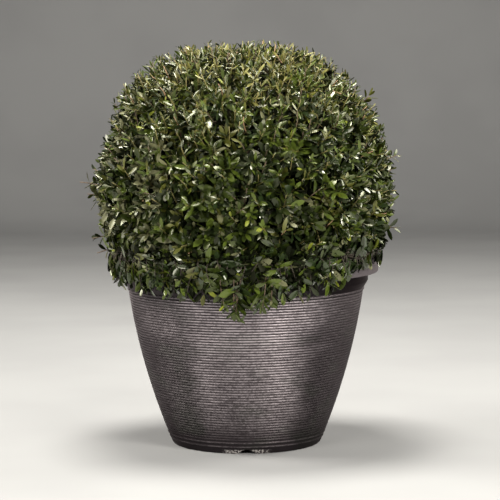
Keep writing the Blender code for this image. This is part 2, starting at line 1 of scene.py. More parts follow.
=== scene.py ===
"""Looks of a clipped Japanese holly ball in its ribbed round pot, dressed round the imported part.

The pot's axis is the Z axis, -Y is its front, and every size is in metres. The crown is
grown as the part grows it: places on a golden-angle spiral, each twig rooted on the nearest
twig within it, carried on here through four orders of twig to sprays of single leaves.
"""

import logging
import math
import random
from collections.abc import Iterable, Iterator, Sequence
from dataclasses import dataclass, field
from enum import Enum

import bpy
import numpy as np
from mathutils import Euler, Matrix, Vector

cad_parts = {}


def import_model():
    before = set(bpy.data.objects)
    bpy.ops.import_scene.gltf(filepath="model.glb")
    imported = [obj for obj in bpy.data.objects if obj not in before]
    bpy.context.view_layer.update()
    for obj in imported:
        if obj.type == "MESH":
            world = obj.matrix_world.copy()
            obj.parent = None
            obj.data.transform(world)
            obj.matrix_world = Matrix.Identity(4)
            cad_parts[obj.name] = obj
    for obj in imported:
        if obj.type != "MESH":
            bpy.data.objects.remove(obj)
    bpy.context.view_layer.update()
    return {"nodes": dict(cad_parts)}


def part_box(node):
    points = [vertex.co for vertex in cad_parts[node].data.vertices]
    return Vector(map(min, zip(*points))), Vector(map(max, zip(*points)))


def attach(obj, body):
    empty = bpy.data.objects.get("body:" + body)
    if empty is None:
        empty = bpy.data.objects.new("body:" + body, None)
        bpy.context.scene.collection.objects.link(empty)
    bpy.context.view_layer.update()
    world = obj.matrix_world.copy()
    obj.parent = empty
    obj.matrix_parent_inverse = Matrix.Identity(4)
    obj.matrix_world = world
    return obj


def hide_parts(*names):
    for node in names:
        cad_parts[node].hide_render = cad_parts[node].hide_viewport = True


LOG = logging.getLogger("japanese_holly")
BODY = "root"
GOLDEN_ANGLE = math.pi * (3.0 - math.sqrt(5.0))
FULL_TURN = 2.0 * math.pi
SIDE_NAMES = ("front", "front_right", "back_right", "back", "back_left", "front_left")

Colour = tuple[float, float, float]
Place = tuple[float, float, float]
Profile = list[tuple[float, float]]


# Shader graphs


class Value:
    """A number inside a shader. Arithmetic on it adds Math nodes to its graph."""

    def __init__(self, graph: "Graph", socket: bpy.types.NodeSocket) -> None:
        """Wrap a socket.

        Args:
            graph: The graph that the socket belongs to.
            socket: The output that carries the number.
        """
        self.graph = graph
        self.socket = socket

    def __add__(self, other: "Value | float") -> "Value":
        """Add."""
        return self.graph.math("ADD", self, other)

    __radd__ = __add__

    def __mul__(self, other: "Value | float") -> "Value":
        """Multiply."""
        return self.graph.math("MULTIPLY", self, other)

    __rmul__ = __mul__

    def __sub__(self, other: "Value | float") -> "Value":
        """Subtract."""
        return self.graph.math("SUBTRACT", self, other)

    def __rsub__(self, other: float) -> "Value":
        """Subtract from a number."""
        return self.graph.math("SUBTRACT", other, self)

    def __truediv__(self, other: "Value | float") -> "Value":
        """Divide."""
        return self.graph.math("DIVIDE", self, other)

    def __abs__(self) -> "Value":
        """Drop the sign."""
        return self.graph.math("ABSOLUTE", self)

    def part(self) -> "Value":
        """Keep what follows the point."""
        return self.graph.math("FRACT", self)

    def rise(self, low: float, high: float) -> "Value":
        """Go smoothly from 0 at low to 1 at high.

        Args:
            low: Where the result starts to rise.
            high: Where it reaches 1.

        Returns:
            The smooth step.
        """
        node = self.graph.node(
            "ShaderNodeMapRange",
            {"interpolation_type": "SMOOTHSTEP"},
            {"Value": self, "From Min": low, "From Max": high},
        )
        return Value(self.graph, node.outputs["Result"])


class Graph:
    """The node tree of one material, with its Principled shader."""

    def __init__(self, name: str) -> None:
        """Start a material.

        Args:
            name: The material's name.
        """
        self.material = bpy.data.materials.new(name)
        self.material.use_nodes = True
        self.tree = self.material.node_tree
        self.shader = self.tree.nodes["Principled BSDF"]

    def node(self, kind: str, settings: dict | None = None, inputs: dict | None = None) -> bpy.types.Node:
        """Add a node.

        Args:
            kind: The node's type.
            settings: Properties to set before its sockets, such as an operation.
            inputs: Numbers, colours, values or sockets by socket name or place.

        Returns:
            The new node.
        """
        node = self.tree.nodes.new(kind)
        for name, setting in (settings or {}).items():
            setattr(node, name, setting)
        for key, given in (inputs or {}).items():
            self.feed(node.inputs[key], given)
        return node

    def feed(self, socket: bpy.types.NodeSocket, given: object) -> None:
        """Link a socket, or set it.

        Args:
            socket: The input to fill.
            given: A value, a socket, a number or a colour.
        """
        source = given.socket if isinstance(given, Value) else given
        if isinstance(source, bpy.types.NodeSocket):
            self.tree.links.new(source, socket)
        else:
            socket.default_value = source

    def math(self, operation: str, *terms: "Value | float") -> Value:
        """Add a Math node and return its value."""
        node = self.node("ShaderNodeMath", {"operation": operation}, dict(enumerate(terms)))
        return Value(self, node.outputs[0])

    def place(self) -> bpy.types.NodeSocket:
        """Return the Object coordinates."""
        return self.node("ShaderNodeTexCoord").outputs["Object"]

    def axes(self, vector: bpy.types.NodeSocket) -> tuple[Value, Value, Value]:
        """Return the three numbers of a vector."""
        node = self.node("ShaderNodeSeparateXYZ", inputs={0: vector})
        return Value(self, node.outputs[0]), Value(self, node.outputs[1]), Value(self, node.outputs[2])

    def stretched(self, vector: bpy.types.NodeSocket, factors: Place) -> bpy.types.NodeSocket:
        """Multiply a vector by three factors, to draw a pattern out along an axis."""
        node = self.node("ShaderNodeVectorMath", {"operation": "MULTIPLY"}, {0: vector, 1: factors})
        return node.outputs[0]

    def noise(self, vector: bpy.types.NodeSocket, scale: float, detail: float = 3.0) -> Value:
        """Return noise between about 0.3 and 0.7 round a mean of 0.5."""
        node = self.node("ShaderNodeTexNoise", inputs={"Vector": vector, "Scale": scale, "Detail": detail})
        return Value(self, node.outputs[0])

    def mix(self, share: Value, first: object, second: object) -> bpy.types.NodeSocket:
        """Mix two colours.

        Args:
            share: 0 gives the first colour and 1 the second.
            first: A colour or a colour socket.
            second: A colour or a colour socket.

        Returns:
            The mixed colour's socket.
        """
        ends = [(*end, 1.0) if isinstance(end, tuple) else end for end in (first, second)]
        node = self.node("ShaderNodeMix", {"data_type": "RGBA"}, {0: share, 6: ends[0], 7: ends[1]})
        return node.outputs[2]

    def bump(self, height: Value, strength: float, distance: float) -> None:
        """Feed a height to the shader's normal.

        Args:
            height: The relief, 0 to 1.
            strength: How much of it shows.
            distance: How far 1 stands above 0.
        """
        inputs = {"Strength": strength, "Distance": distance, "Height": height}
        node = self.node("ShaderNodeBump", inputs=inputs)
        self.feed(self.shader.inputs["Normal"], node.outputs[0])

    def finish(self, **inputs: object) -> bpy.types.Material:
        """Fill the shader's sockets.

        Args:
            inputs: What to feed to each socket, by its name with _ for a space.

        Returns:
            The material.
        """
        for name, given in inputs.items():
            colour = (*given, 1.0) if isinstance(given, tuple) else given
            self.feed(self.shader.inputs[name.replace("_", " ")], colour)
        return self.material


# Finishes


@dataclass(frozen=True)
class PotZones:
    """Where each band and side of the pot lies, as masks from 0 to 1. The sides, the collar and a low patch
    in front mark painted shade, and the patch over the notch painted glints.
    """

    ribbed: Value
    bead: Value
    rings: Value
    rim: Value
    collar_shadow: Value
    foot: Value
    right: Value
    left: Value
    front_shade: Value
    notch_glints: Value


@dataclass(frozen=True)
class PotFinish:
    """Dark pewter-brown moulded resin, dry-brushed with dull silver along the tops of its ribs, with painted
    shade on its sides, collar and lower front, and painted highlights on its rim ends, under the crown and
    over the front notch.
    """

    rib_bottom: float
    rib_pitch: float
    rib_top: float
    soft_edge: float = 0.0008
    bead_top: float = 0.0040
    rings_middle: float = 0.0120
    rings_apart: float = 0.0027
    # Heights over which the collar's painted shadow starts and ends, the rim starts, and the foot grows
    # darker
    collar_start: tuple[float, float] = (0.2104, 0.2116)
    collar_end: tuple[float, float] = (0.2292, 0.2306)
    rim_start: tuple[float, float] = (0.2308, 0.2318)
    foot_fade: tuple[float, float] = (0.004, 0.036)
    # The wall's radius at the ground, and what it gains with height
    foot_girth: float = 0.102
    girth_slope: float = 0.27
    # Directions in plan of the two sides that are painted into shade, and of a patch in front that is painted
    # darker low down, where the key light's highlight falls
    shaded_right: tuple[float, float] = (0.883, -0.469)
    shaded_left: tuple[float, float] = (-0.866, -0.50)
    front_shade_facing: tuple[float, float] = (0.48, -0.88)
    # The patch of painted glints over the front notch: half its width, its edge and its top
    glint_half: float = 0.034
    glint_edge: float = 0.012
    glint_top: tuple[float, float] = (0.0045, 0.0065)
    shadowed: Colour = (0.0075, 0.0060, 0.0072)
    groove: Colour = (0.0290, 0.0234, 0.0262)
    silver: Colour = (0.415, 0.367, 0.390)
    green_cast: Colour = (0.030, 0.032, 0.027)
    glint_white: Colour = (0.700, 0.660, 0.640)
    tint: Colour = (0.45, 0.42, 0.42)

    def zones(self, graph: Graph, place: bpy.types.NodeSocket, patches: Value) -> PotZones:
        """Find the pot's bands by their height, and its sides by the way that they face.

        Args:
            graph: The finish's graph.
            place: The Object coordinates.
            patches: Noise that breaks up the edges of the sides.

        Returns:
            The masks.
        """
        across, forward, height = graph.axes(place)
        girth = height * self.girth_slope + self.foot_girth
        broken = (patches - 0.5) * 0.30

        def facing(direction: tuple[float, float]) -> Value:
            """Tell how squarely the wall faces a direction in plan, up to 1."""
            return (across * direction[0] + forward * direction[1]) / girth

        edge = self.soft_edge
        bead_end = self.rib_top + self.bead_top
        below_ledge = 1.0 - height.rise(self.rib_top, self.rib_top + edge)
        below_bead_end = 1.0 - height.rise(bead_end, bead_end + edge)
        off_rings = abs(abs(height - self.rings_middle) - self.rings_apart).rise(0.0003, 0.0013)
        in_front = (forward * -1.0).rise(0.05, 0.08) * (1.0 - height.rise(*self.glint_top))
        return PotZones(
            ribbed=height.rise(self.rib_bottom - 0.001, self.rib_bottom) * below_ledge,
            bead=height.rise(self.rib_top + edge, self.rib_top + 2.0 * edge) * below_bead_end,
            rings=1.0 - off_rings,
            rim=height.rise(*self.rim_start),
            # The collar under the rim is painted into shadow.
            collar_shadow=height.rise(*self.collar_start) * (1.0 - height.rise(*self.collar_end)),
            foot=1.0 - height.rise(*self.foot_fade),
            # Painted shade: the right and left sides get less silver and a darker tone.
            right=(facing(self.shaded_right) + broken).rise(0.82, 1.00),
            left=(facing(self.shaded_left) + broken).rise(0.80, 1.03),
            # A patch low in front, where the key light's highlight falls, is painted darker.
            front_shade=facing(self.front_shade_facing).rise(0.91, 1.0) * (1.0 - height.rise(0.045, 0.165)),
            # Painted glints over the front notch, on the front only.
            notch_glints=(self.glint_half - abs(across)).rise(0.0, self.glint_edge) * in_front,
        )

    def brushed(self, height: Value, zones: PotZones, dashes: Value, speckle: Value, clouds: Value) -> Value:
        """Work out how much silver the dry brush left.

        Args:
            height: The height over the ground.
            zones: The pot's masks.
            dashes: Noise drawn out along the ribs.
            speckle: Fine even noise.
            clouds: Broad noise.

        Returns:
            0 on resin with no silver, up to about 1 where the brush left most.
        """
        phase = ((height - self.rib_bottom) / self.rib_pitch).part()
        ridge = 1.0 - abs(phase - 0.5) * 2.0
        # Towards the foot the brushing breaks up, and less of it keeps to the ribs
        coarse = 1.0 - height.rise(0.030, 0.150)
        grain = (dashes * 0.45 + speckle * 0.55).rise(0.38, 0.60)
        worn = grain * (coarse * 0.24 + 0.64) + 0.42 - coarse * 0.16
        tips = (ridge.rise(0.10, 0.95) * 0.90 + 0.10) * (1.0 - coarse * 0.24) + coarse * 0.19
        top = tips * zones.ribbed + (1.0 - zones.ribbed) * 0.12 + zones.bead * 0.45 + zones.rings * 0.4
        # Less silver towards the foot. Less silver on the left and right sides, and low in front, is painted
        # shade; more just under the crown is painted light
        sides = (1.0 - zones.right * 0.72 - zones.left * 0.58) * (1.0 - zones.front_shade * 0.30)
        # More silver just under the crown is painted light, where the crown's shadow falls on the wall.
        upper = height.rise(0.140, 0.200) * 0.56 + 1.0
        lower = (height.rise(0.004, 0.110) * 0.62 + 0.38) * (height.rise(0.016, 0.044) * 0.70 + 0.30)
        cover = (clouds.rise(0.30, 0.66) * 0.50 + 0.50) * sides * upper * lower
        # The rim's right and left ends are painted lighter: a painted highlight.
        rim = zones.rim * (zones.right * 0.25 + zones.left * 0.20)
        # The painted glints over the notch add silver as well.
        return top * worn * cover + zones.rings * worn * 0.22 + zones.notch_glints * 0.2 + rim

    def dimmed(self, zones: PotZones) -> Value:
        """Work out how far the resin is painted into shade, towards its darkest tone.

        Args:
            zones: The pot's masks.

        Returns:
            Most on the collar's painted shadow, less on the painted shade of the sides and on the foot, and
            none on the rim.
        """
        # Painted shadow on the collar, deepest on the right and lightest on the left.
        collar = zones.right * 0.25 - zones.left * 0.38 + 0.62
        # Painted shade on the right and left sides of the wall; the wall also darkens towards the foot.
        wall = zones.right * 0.26 + zones.left * 0.30 + zones.foot * 0.26
        return (zones.collar_shadow * collar + (1.0 - zones.collar_shadow) * wall) * (1.0 - zones.rim)

    def make(self, name: str) -> bpy.types.Material:
        """Build the finish.

        Args:
            name: The material's name.

        Returns:
            The material.
        """
        graph = Graph(name)
        place = graph.place()
        height = graph.axes(place)[2]
        dashes = graph.noise(graph.stretched(place, (85.0, 85.0, 400.0)), 1.0, 2.0)
        speckle = graph.noise(place, 360.0, 3.0)
        clouds = graph.noise(place, 11.0, 4.0)
        patches = graph.noise(graph.stretched(place, (1.0, 1.0, 1.6)), 17.0, 3.0)
        zones = self.zones(graph, place, patches)
        silvered = self.brushed(height, zones, dashes, speckle, clouds)
        dim = self.dimmed(zones)
        dark = graph.mix(patches.rise(0.50, 0.72) * 0.8, self.groove, self.green_cast)
        # Painted shade: the collar, the sides and the foot are mixed towards the shadowed tone, and made more
        # metallic.
        colour = graph.mix(dim, graph.mix(silvered, dark, self.silver), self.shadowed)
        # Painted glints: white speckles over the front notch.
        colour = graph.mix(zones.notch_glints * speckle.rise(0.47, 0.58) * 0.85, colour, self.glint_white)
        graph.bump(speckle * 0.6 + dashes * 0.4, 0.35, 0.0006)
        return graph.finish(
            Base_Color=colour,
            Metallic=silvered * 0.32 + 0.58 + dim * 0.3,
            Roughness=silvered * 0.03 + 0.46 + (speckle - 0.5) * 0.2,
            Specular_IOR_Level=0.25,
            Specular_Tint=self.tint,
        )


@dataclass(frozen=True)
class MixFinish:
    """Moist peat and fine bark."""

    dark: Colour = (0.012, 0.008, 0.006)
    light: Colour = (0.070, 0.046, 0.030)

    def make(self, name: str) -> bpy.types.Material:
        """Build the finish.

        Args:
            name: The material's name.

        Returns:
            The material.
        """
        graph = Graph(name)
        place = graph.place()
        grain = graph.noise(place, 260.0, 5.0)
        lumps = graph.noise(place, 45.0, 3.0)
        graph.bump(grain * 0.7 + lumps * 0.3, 0.8, 0.003)
        colour = graph.mix((grain * 0.6 + lumps * 0.4).rise(0.38, 0.66), self.dark, self.light)
        return graph.finish(Base_Color=colour, Roughness=0.85 + (lumps - 0.5) * 0.3)


@dataclass(frozen=True)
class BarkFinish:
    """Grey-brown holly bark, fissured along the limb."""

    dark: Colour = (0.050, 0.036, 0.026)
    light: Colour = (0.190, 0.150, 0.112)

    def make(self, name: str) -> bpy.types.Material:
        """Build the finish.

        Args:
            name: The material's name.

        Returns:
            The material.
        """
        graph = Graph(name)
        place = graph.place()
        fissures = graph.noise(graph.stretched(place, (3.4, 3.4, 1.0)), 120.0, 5.0)
        lichen = graph.noise(place, 60.0, 3.0)
        graph.bump(fissures, 0.7, 0.0012)
        colour = graph.mix(fissures.rise(0.34, 0.64) * (lichen * 0.6 + 0.6), self.dark, self.light)
        return graph.finish(Base_Color=colour, Roughness=0.82 + (fissures - 0.5) * 0.3)


@dataclass(frozen=True)
class FloorFinish:
    """Plain pale studio floor with a barely seen mottle."""

    tone: Colour = (0.315, 0.315, 0.325)
    shade: Colour = (0.295, 0.295, 0.305)

    def make(self, name: str) -> bpy.types.Material:
        """Build the finish.

        Args:
            name: The material's name.

        Returns:
            The material.
        """
        graph = Graph(name)
        mottle = graph.noise(graph.place(), 3.0, 2.0)
        colour = graph.mix(mottle.rise(0.35, 0.65), self.tone, self.shade)
        return graph.finish(Base_Color=colour, Roughness=mottle * 0.1 + 0.75)


@dataclass(frozen=True)
class LeafFinish:
    """One tone of leaf: glossy above, paler and duller beneath."""

    upper: Colour
    under: Colour
    roughness: float = 0.34
    coat: float = 0.28
    shine: float = 0.5
    coat_roughness: float = 0.16
    tint: Colour = (1.0, 1.0, 0.70)
    under_roughness: float = 0.55
    under_shine: float = 0.25

    def make(self, name: str) -> list[bpy.types.Material]:
        """Build the two sides of the leaf.

        Args:
            name: The start of both materials' names.

        Returns:
            The upper side's material and the underside's.
        """
        upper = Graph(name + "_upper").finish(
            Base_Color=self.upper,
            Roughness=self.roughness,
            Coat_Weight=self.coat,
            Coat_Roughness=self.coat_roughness,
            Specular_IOR_Level=self.shine,
            Specular_Tint=self.tint,
        )
        under = Graph(name + "_under").finish(
            Base_Color=self.under, Roughness=self.under_roughness, Specular_IOR_Level=self.under_shine
        )
        return [upper, under]


@dataclass(frozen=True)
class TwigFinish:
    """Plain matt bark of one age."""

    colour: Colour
    roughness: float

    def make(self, name: str) -> bpy.types.Material:
        """Build the finish under a name."""
        return Graph(name).finish(Base_Color=self.colour, Roughness=self.roughness)


class LeafTone(Enum):
    """The tones that leaves are dealt out in, spray by spray."""

    SHADE = LeafFinish((0.0030, 0.0046, 0.0012), (0.005, 0.007, 0.003), 0.60, 0.0, 0.15)
    DEEP = LeafFinish((0.0090, 0.0150, 0.0030), (0.030, 0.038, 0.013))
    GREEN = LeafFinish((0.0315, 0.0460, 0.0070), (0.062, 0.076, 0.024))
    BLUE = LeafFinish((0.0190, 0.0320, 0.0095), (0.060, 0.072, 0.036), 0.28, 1.0)
    FRESH = LeafFinish((0.0680, 0.0960, 0.0120), (0.100, 0.125, 0.036))
    OLIVE = LeafFinish((0.0720, 0.0760, 0.0120), (0.110, 0.108, 0.030), 0.40, 0.20)
    KHAKI = LeafFinish((0.1600, 0.1500, 0.0360), (0.190, 0.170, 0.060), 0.42, 0.15)
    GREY = LeafFinish((0.1150, 0.1160, 0.0580), (0.180, 0.178, 0.105), 0.42, 0.12)
    LIME = LeafFinish((0.2100, 0.2400, 0.0260), (0.210, 0.230, 0.050), 0.40, 0.15)
    TAN = LeafFinish((0.4300, 0.3000, 0.1650), (0.380, 0.270, 0.160), 0.60, 0.0)


class TwigTone(Enum):
    """The twigs by their age."""

    OLD = TwigFinish((0.036, 0.027, 0.019), 0.85)
    BROWN = TwigFinish((0.115, 0.078, 0.050), 0.72)
    YOUNG = TwigFinish((0.190, 0.160, 0.052), 0.55)
    PINK = TwigFinish((0.300, 0.180, 0.100), 0.60)


# Work on meshes by operator


def deselect() -> None:
    """Go to object mode with nothing selected."""
    if bpy.context.mode != "OBJECT":
        bpy.ops.object.mode_set(mode="OBJECT")
    bpy.ops.object.select_all(action="DESELECT")


def take_up(piece: bpy.types.Object) -> None:
    """Make a piece the only one selected, and the active one.

    Args:
        piece: The piece.
    """
    deselect()
    piece.select_set(True)
    bpy.context.view_layer.objects.active = piece


def started(name: str) -> bpy.types.Object:
    """Name the primitive that was just added.

    Args:
        name: The name of the object and of its data.

    Returns:
        The object.
    """
    piece = bpy.context.active_object
    piece.name = name
    piece.data.name = name
    return piece


def coat(piece: bpy.types.Object, materials: Iterable[bpy.types.Material]) -> None:
    """Give a piece its materials in place of any that it has.

    Args:
        piece: The piece.
        materials: The materials, in the order of their places.
    """
    piece.data.materials.clear()
    for material in materials:
        piece.data.materials.append(material)


def hand_over(piece: bpy.types.Object, nodes: Iterable[str] = ()) -> None:
    """Put a finished piece on the plant's one body.

    Args:
        piece: The piece, with its place in its mesh.
        nodes: The CAD nodes that it stands for.
    """
    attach(piece, BODY)
    if nodes:
        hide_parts(*nodes)
    faces = sum(len(face.vertices) - 2 for face in piece.data.polygons)
    LOG.info("%s: %d triangles", piece.name, faces)


def join_all(pieces: Sequence[bpy.types.Object]) -> bpy.types.Object:
    """Join pieces into the first of them.

    Args:
        pieces: The pieces.

    Returns:
        The joined piece, selected and active.
    """
    take_up(pieces[0])
    for piece in pieces[1:]:
        piece.select_set(True)
    bpy.ops.object.join()
    return pieces[0]


def apply_all(piece: bpy.types.Object) -> None:
    """Apply a piece's modifiers in order.

    Args:
        piece: The piece.
    """
    take_up(piece)
    for modifier in list(piece.modifiers):
        bpy.ops.object.modifier_apply(modifier=modifier.name)


def profile_chain(name: str, profile: Profile) -> bpy.types.Object:
    """Draw a turned shape's half section, one extruded point after another.

    Args:
        name: The piece's name.
        profile: Radius and height of each point, from the axis round to the axis.

    Returns:
        An object that holds the chain of edges in the XZ plane.
    """
    deselect()
    first = Vector((profile[0][0], 0.0, profile[0][1]))
    bpy.ops.mesh.primitive_plane_add(size=0.01, location=(0.0, 0.0, 0.0))
    piece = started(name)
    bpy.ops.object.mode_set(mode="EDIT")
    bpy.ops.mesh.merge(type="CENTER")
    bpy.ops.transform.translate(value=first)
    last = first
    for radius, height in profile[1:]:
        point = Vector((radius, 0.0, height))
        bpy.ops.mesh.extrude_vertices_move(TRANSFORM_OT_translate={"value": point - last})
        last = point
    return piece


def arc(centre: tuple[float, float], radius: float, first: float, last: float, steps: int) -> Profile:
    """Round a corner of a half section.

    Args:
        centre: Radius and height of the arc's centre.
        radius: The arc's own radius.
        first: The angle in degrees where it starts.
        last: The angle in degrees where it ends.
        steps: How many straight lengths it takes.

    Returns:
        Its points.
    """
    angles = [math.radians(first + (last - first) * step / steps) for step in range(steps + 1)]
    return [(centre[0] + radius * math.cos(a), centre[1] + radius * math.sin(a)) for a in angles]


# Pot


@dataclass
class Pot:
    """The round pot: rolled rim, collar, bead, ribbed wall and notched foot."""

    rim_radius: float
    height: float
    rim_depth: float = 0.015
    rim_corner: float = 0.0045
    under_corner: float = 0.002
    under_fillet: float = 0.0015
    lip_corner: float = 0.002
    dish: float = 0.0006
    dish_inner: float = 0.0045
    dish_outer: float = 0.0085
    collar_radius: float = 0.1643
    collar_foot: float = 0.2185
    collar_edge: float = 0.0012
    collar_draft: float = 0.0004
    ledge_height: float = 0.2100
    ledge_radius: float = 0.1580
    ledge_fillet: float = 0.0016
    bead_depth: float = 0.0032
    bead_proud: float = 0.0014
    base_radius: float = 0.0998
    belly: float = 0.0072
    wall: float = 0.004
    inside_corner: float = 0.004
    inside_steps: int = 8
    foot_width: float = 0.012
    foot_chamfer: float = 0.0012
    foot_top: float = 0.0055
    recess: float = 0.007
    floor: float = 0.005
    rib_bottom: float = 0.0172
    rib_top: float = 0.2058
    ribs: int = 53
    rib_relief: float = 0.00055
    # One rib downwards: shares of its pitch and of its relief
    rib_shape: tuple[tuple[float, float], ...] = ((0.0, -1.0), (0.22, 0.45), (0.5, 1.0), (0.78, 0.45))
    ring_heights: tuple[float, ...] = (0.0147, 0.0093)
    ring_half: float = 0.0014
    ring_relief: float = 0.0009
    # One ring downwards: shares of its half height and of its relief
    ring_shape: tuple[tuple[float, float], ...] = (
        (1.0, 0.0), (0.55, 0.75), (0.0, 1.0), (-0.55, 0.75), (-1.0, 0.0),
    )
    notch_width: float = 0.024
    notch_height: float = 0.006
    notches: int = 4
    notch_sides: int = 64
    hole_radius: float = 0.006
    hole_circle: float = 0.062
    holes: int = 4
    hole_sides: int = 24
    turn_steps: int = 176
    weld: float = 0.00005
    smooth_angle: float = math.radians(62.0)

    @property
    def rib_pitch(self) -> float:
        """Height from one rib to the next."""
        return (self.rib_top - self.rib_bottom) / self.ribs

    def wall_radius(self, height: float) -> float:
        """Work out the outer radius of the bellied wall.

        Args:
            height: The height over the ground.

        Returns:
            The radius there, without rib or ring.
        """
        share = height / self.ledge_height
        straight = self.base_radius + (self.ledge_radius - self.base_radius) * share
        return straight + 4.0 * self.belly * share * (1.0 - share)

    def rib_points(self) -> Profile:
        """Draw the ribs: broad round tops with narrow grooves between them.

        Returns:
            Their points from the highest rib down.
        """
        points: Profile = []
        for rib in range(self.ribs):
            for share, relief in self.rib_shape:
                height = self.rib_top - (rib + share) * self.rib_pitch
                points.append((self.wall_radius(height) + relief * self.rib_relief, height))
        points.append((self.wall_radius(self.rib_bottom) - self.rib_relief, self.rib_bottom))
        return points

    def ring_points(self) -> Profile:
        """Draw the two thicker rings near the foot.

        Returns:
            Their points from the upper ring down.
        """
        points: Profile = []
        for middle in self.ring_heights:
            for share, relief in self.ring_shape:
                height = middle + share * self.ring_half
                points.append((self.wall_radius(height) + relief * self.ring_relief, height))
        return points

    def rim_points(self) -> Profile:
        """Draw the rim, its top a little dished.

        Returns:
            Its points from its inner edge to the underside of its band.
        """
        inner = self.collar_radius - self.wall
        under = self.height - self.rim_depth
        dished = self.height - self.dish
        lip = (inner + self.lip_corner, self.height - self.lip_corner)
        points = arc(lip, self.lip_corner, 180.0, 90.0, 3)
        points += [(inner + self.dish_inner, dished), (self.rim_radius - self.dish_outer, dished)]
        upper = (self.rim_radius - self.rim_corner, self.height - self.rim_corner)
        points += arc(upper, self.rim_corner, 90.0, 0.0, 7)
        lower = (self.rim_radius - self.under_corner, under + self.under_corner)
        points += arc(lower, self.under_corner, 0.0, -90.0, 3)
        fillet = self.under_fillet
        return points + [(self.collar_radius + fillet, under), (self.collar_radius, under - fillet)]

    def inside_points(self) -> Profile:
        """Draw the floor and the inside of the wall.

        Returns:
            Their points from the axis up to the collar's foot.
        """
        floor_top = self.recess + self.floor
        points = [(0.0, floor_top), (self.wall_radius(floor_top) - self.wall - self.inside_corner, floor_top)]
        for step in range(1, self.inside_steps + 1):
            height = floor_top + (self.ledge_height - floor_top) * step / self.inside_steps
            points.append((self.wall_radius(height) - self.wall, height))
        points.append((self.collar_radius - self.wall, self.collar_foot))
        return points

    def ledge_points(self) -> Profile:
        """Draw the step from the collar to the wall, with its bead.

        Returns:
            Its points downwards.
        """
        bead = self.bead_depth / 2.0
        middle = (self.ledge_radius + self.bead_proud - bead, self.ledge_height - bead)
        points = [
            (self.collar_radius, self.collar_foot + self.collar_edge),
            (self.collar_radius - self.collar_draft, self.collar_foot),
            (self.ledge_radius + self.ledge_fillet, self.ledge_height + self.ledge_fillet),
        ]
        return points + arc(middle, bead, 80.0, -80.0, 6)

    def foot_points(self) -> Profile:
        """Draw the foot ring and the recessed underside.

        Returns:
            Their points down and in to the axis.
        """
        edge = self.foot_chamfer
        inner = self.base_radius - self.foot_width
        return [
            (self.wall_radius(self.foot_top), self.foot_top),
            (self.wall_radius(edge), edge),
            (self.base_radius - edge * 0.3, edge * 0.3),
            (self.base_radius - edge, 0.0),
            (inner, 0.0),
            (inner, self.recess),
            (0.0, self.recess),
        ]

    def profile(self) -> Profile:
        """Draw the whole half section.

        Returns:
            Its points from the axis up the inside and down the outside.
        """
        upper = self.inside_points() + self.rim_points() + self.ledge_points()
        return upper + self.rib_points() + self.ring_points() + self.foot_points()

    def turned(self) -> bpy.types.Object:
        """Spin the half section about the axis and close it.

        Returns:
            The pot, not yet cut.
        """
        pot = profile_chain("ribbed_pot", self.profile())
        bpy.ops.mesh.select_all(action="SELECT")
        bpy.ops.mesh.spin(
            steps=self.turn_steps, angle=FULL_TURN, center=(0.0, 0.0, 0.0), axis=(0.0, 0.0, 1.0), dupli=False
        )
        bpy.ops.mesh.select_all(action="SELECT")
        bpy.ops.mesh.remove_doubles(threshold=self.weld)
        bpy.ops.mesh.normals_make_consistent(inside=False)
        bpy.ops.object.mode_set(mode="OBJECT")
        return pot

    def notch(self, index: int) -> bpy.types.Object:
        """Make the cutter of one drainage notch: a cylinder that lies across the foot ring.

        Args:
            index: The notch's number, counted round from the front.

        Returns:
            The cutter.
        """
        half = self.notch_width / 2.0
        radius = (half * half + self.notch_height**2) / (2.0 * self.notch_height)
        angle = -math.pi / 2.0 + index * FULL_TURN / self.notches
        reach = self.base_radius - self.foot_width / 2.0
        deselect()
        bpy.ops.mesh.primitive_cylinder_add(
            vertices=self.notch_sides,
            radius=radius,
            depth=self.foot_width * 2.0,
            location=(reach * math.cos(angle), reach * math.sin(angle), self.notch_height - radius),
            rotation=(0.0, math.pi / 2.0, angle),
        )
        return started("notch_%d" % index)

    def hole(self, index: int) -> bpy.types.Object:
        """Make the cutter of one drain hole.

        Args:
            index: The hole's number round the floor. The one past the last is in its middle.

        Returns:
            The cutter.
        """
        angle = (index + 0.5) * FULL_TURN / self.holes
        reach = self.hole_circle if index < self.holes else 0.0
        deselect()
        bpy.ops.mesh.primitive_cylinder_add(
            vertices=self.hole_sides,
            radius=self.hole_radius,
            depth=self.floor * 2.0,
            location=(reach * math.cos(angle), reach * math.sin(angle), self.recess + self.floor / 2.0),
        )
        return started("hole_%d" % index)

    def build(self) -> bpy.types.Object:
        """Build the pot and put it on the plant's body.

        Returns:
            The finished pot.
        """
        pot = self.turned()
        cutters = [self.notch(index) for index in range(self.notches)]
        cutters += [self.hole(index) for index in range(self.holes + 1)]
        cutter = join_all(cutters)
        cut = pot.modifiers.new("foot_cuts", "BOOLEAN")
        cut.operation = "DIFFERENCE"
        cut.solver = "EXACT"
        cut.object = cutter
        apply_all(pot)
        bpy.data.objects.remove(cutter, do_unlink=True)
        bpy.ops.object.shade_smooth_by_angle(angle=self.smooth_angle)
        finish = PotFinish(self.rib_bottom, self.rib_pitch, self.rib_top)
        coat(pot, [finish.make("pewter_resin")])
        hand_over(pot, ["pot"])
        return pot


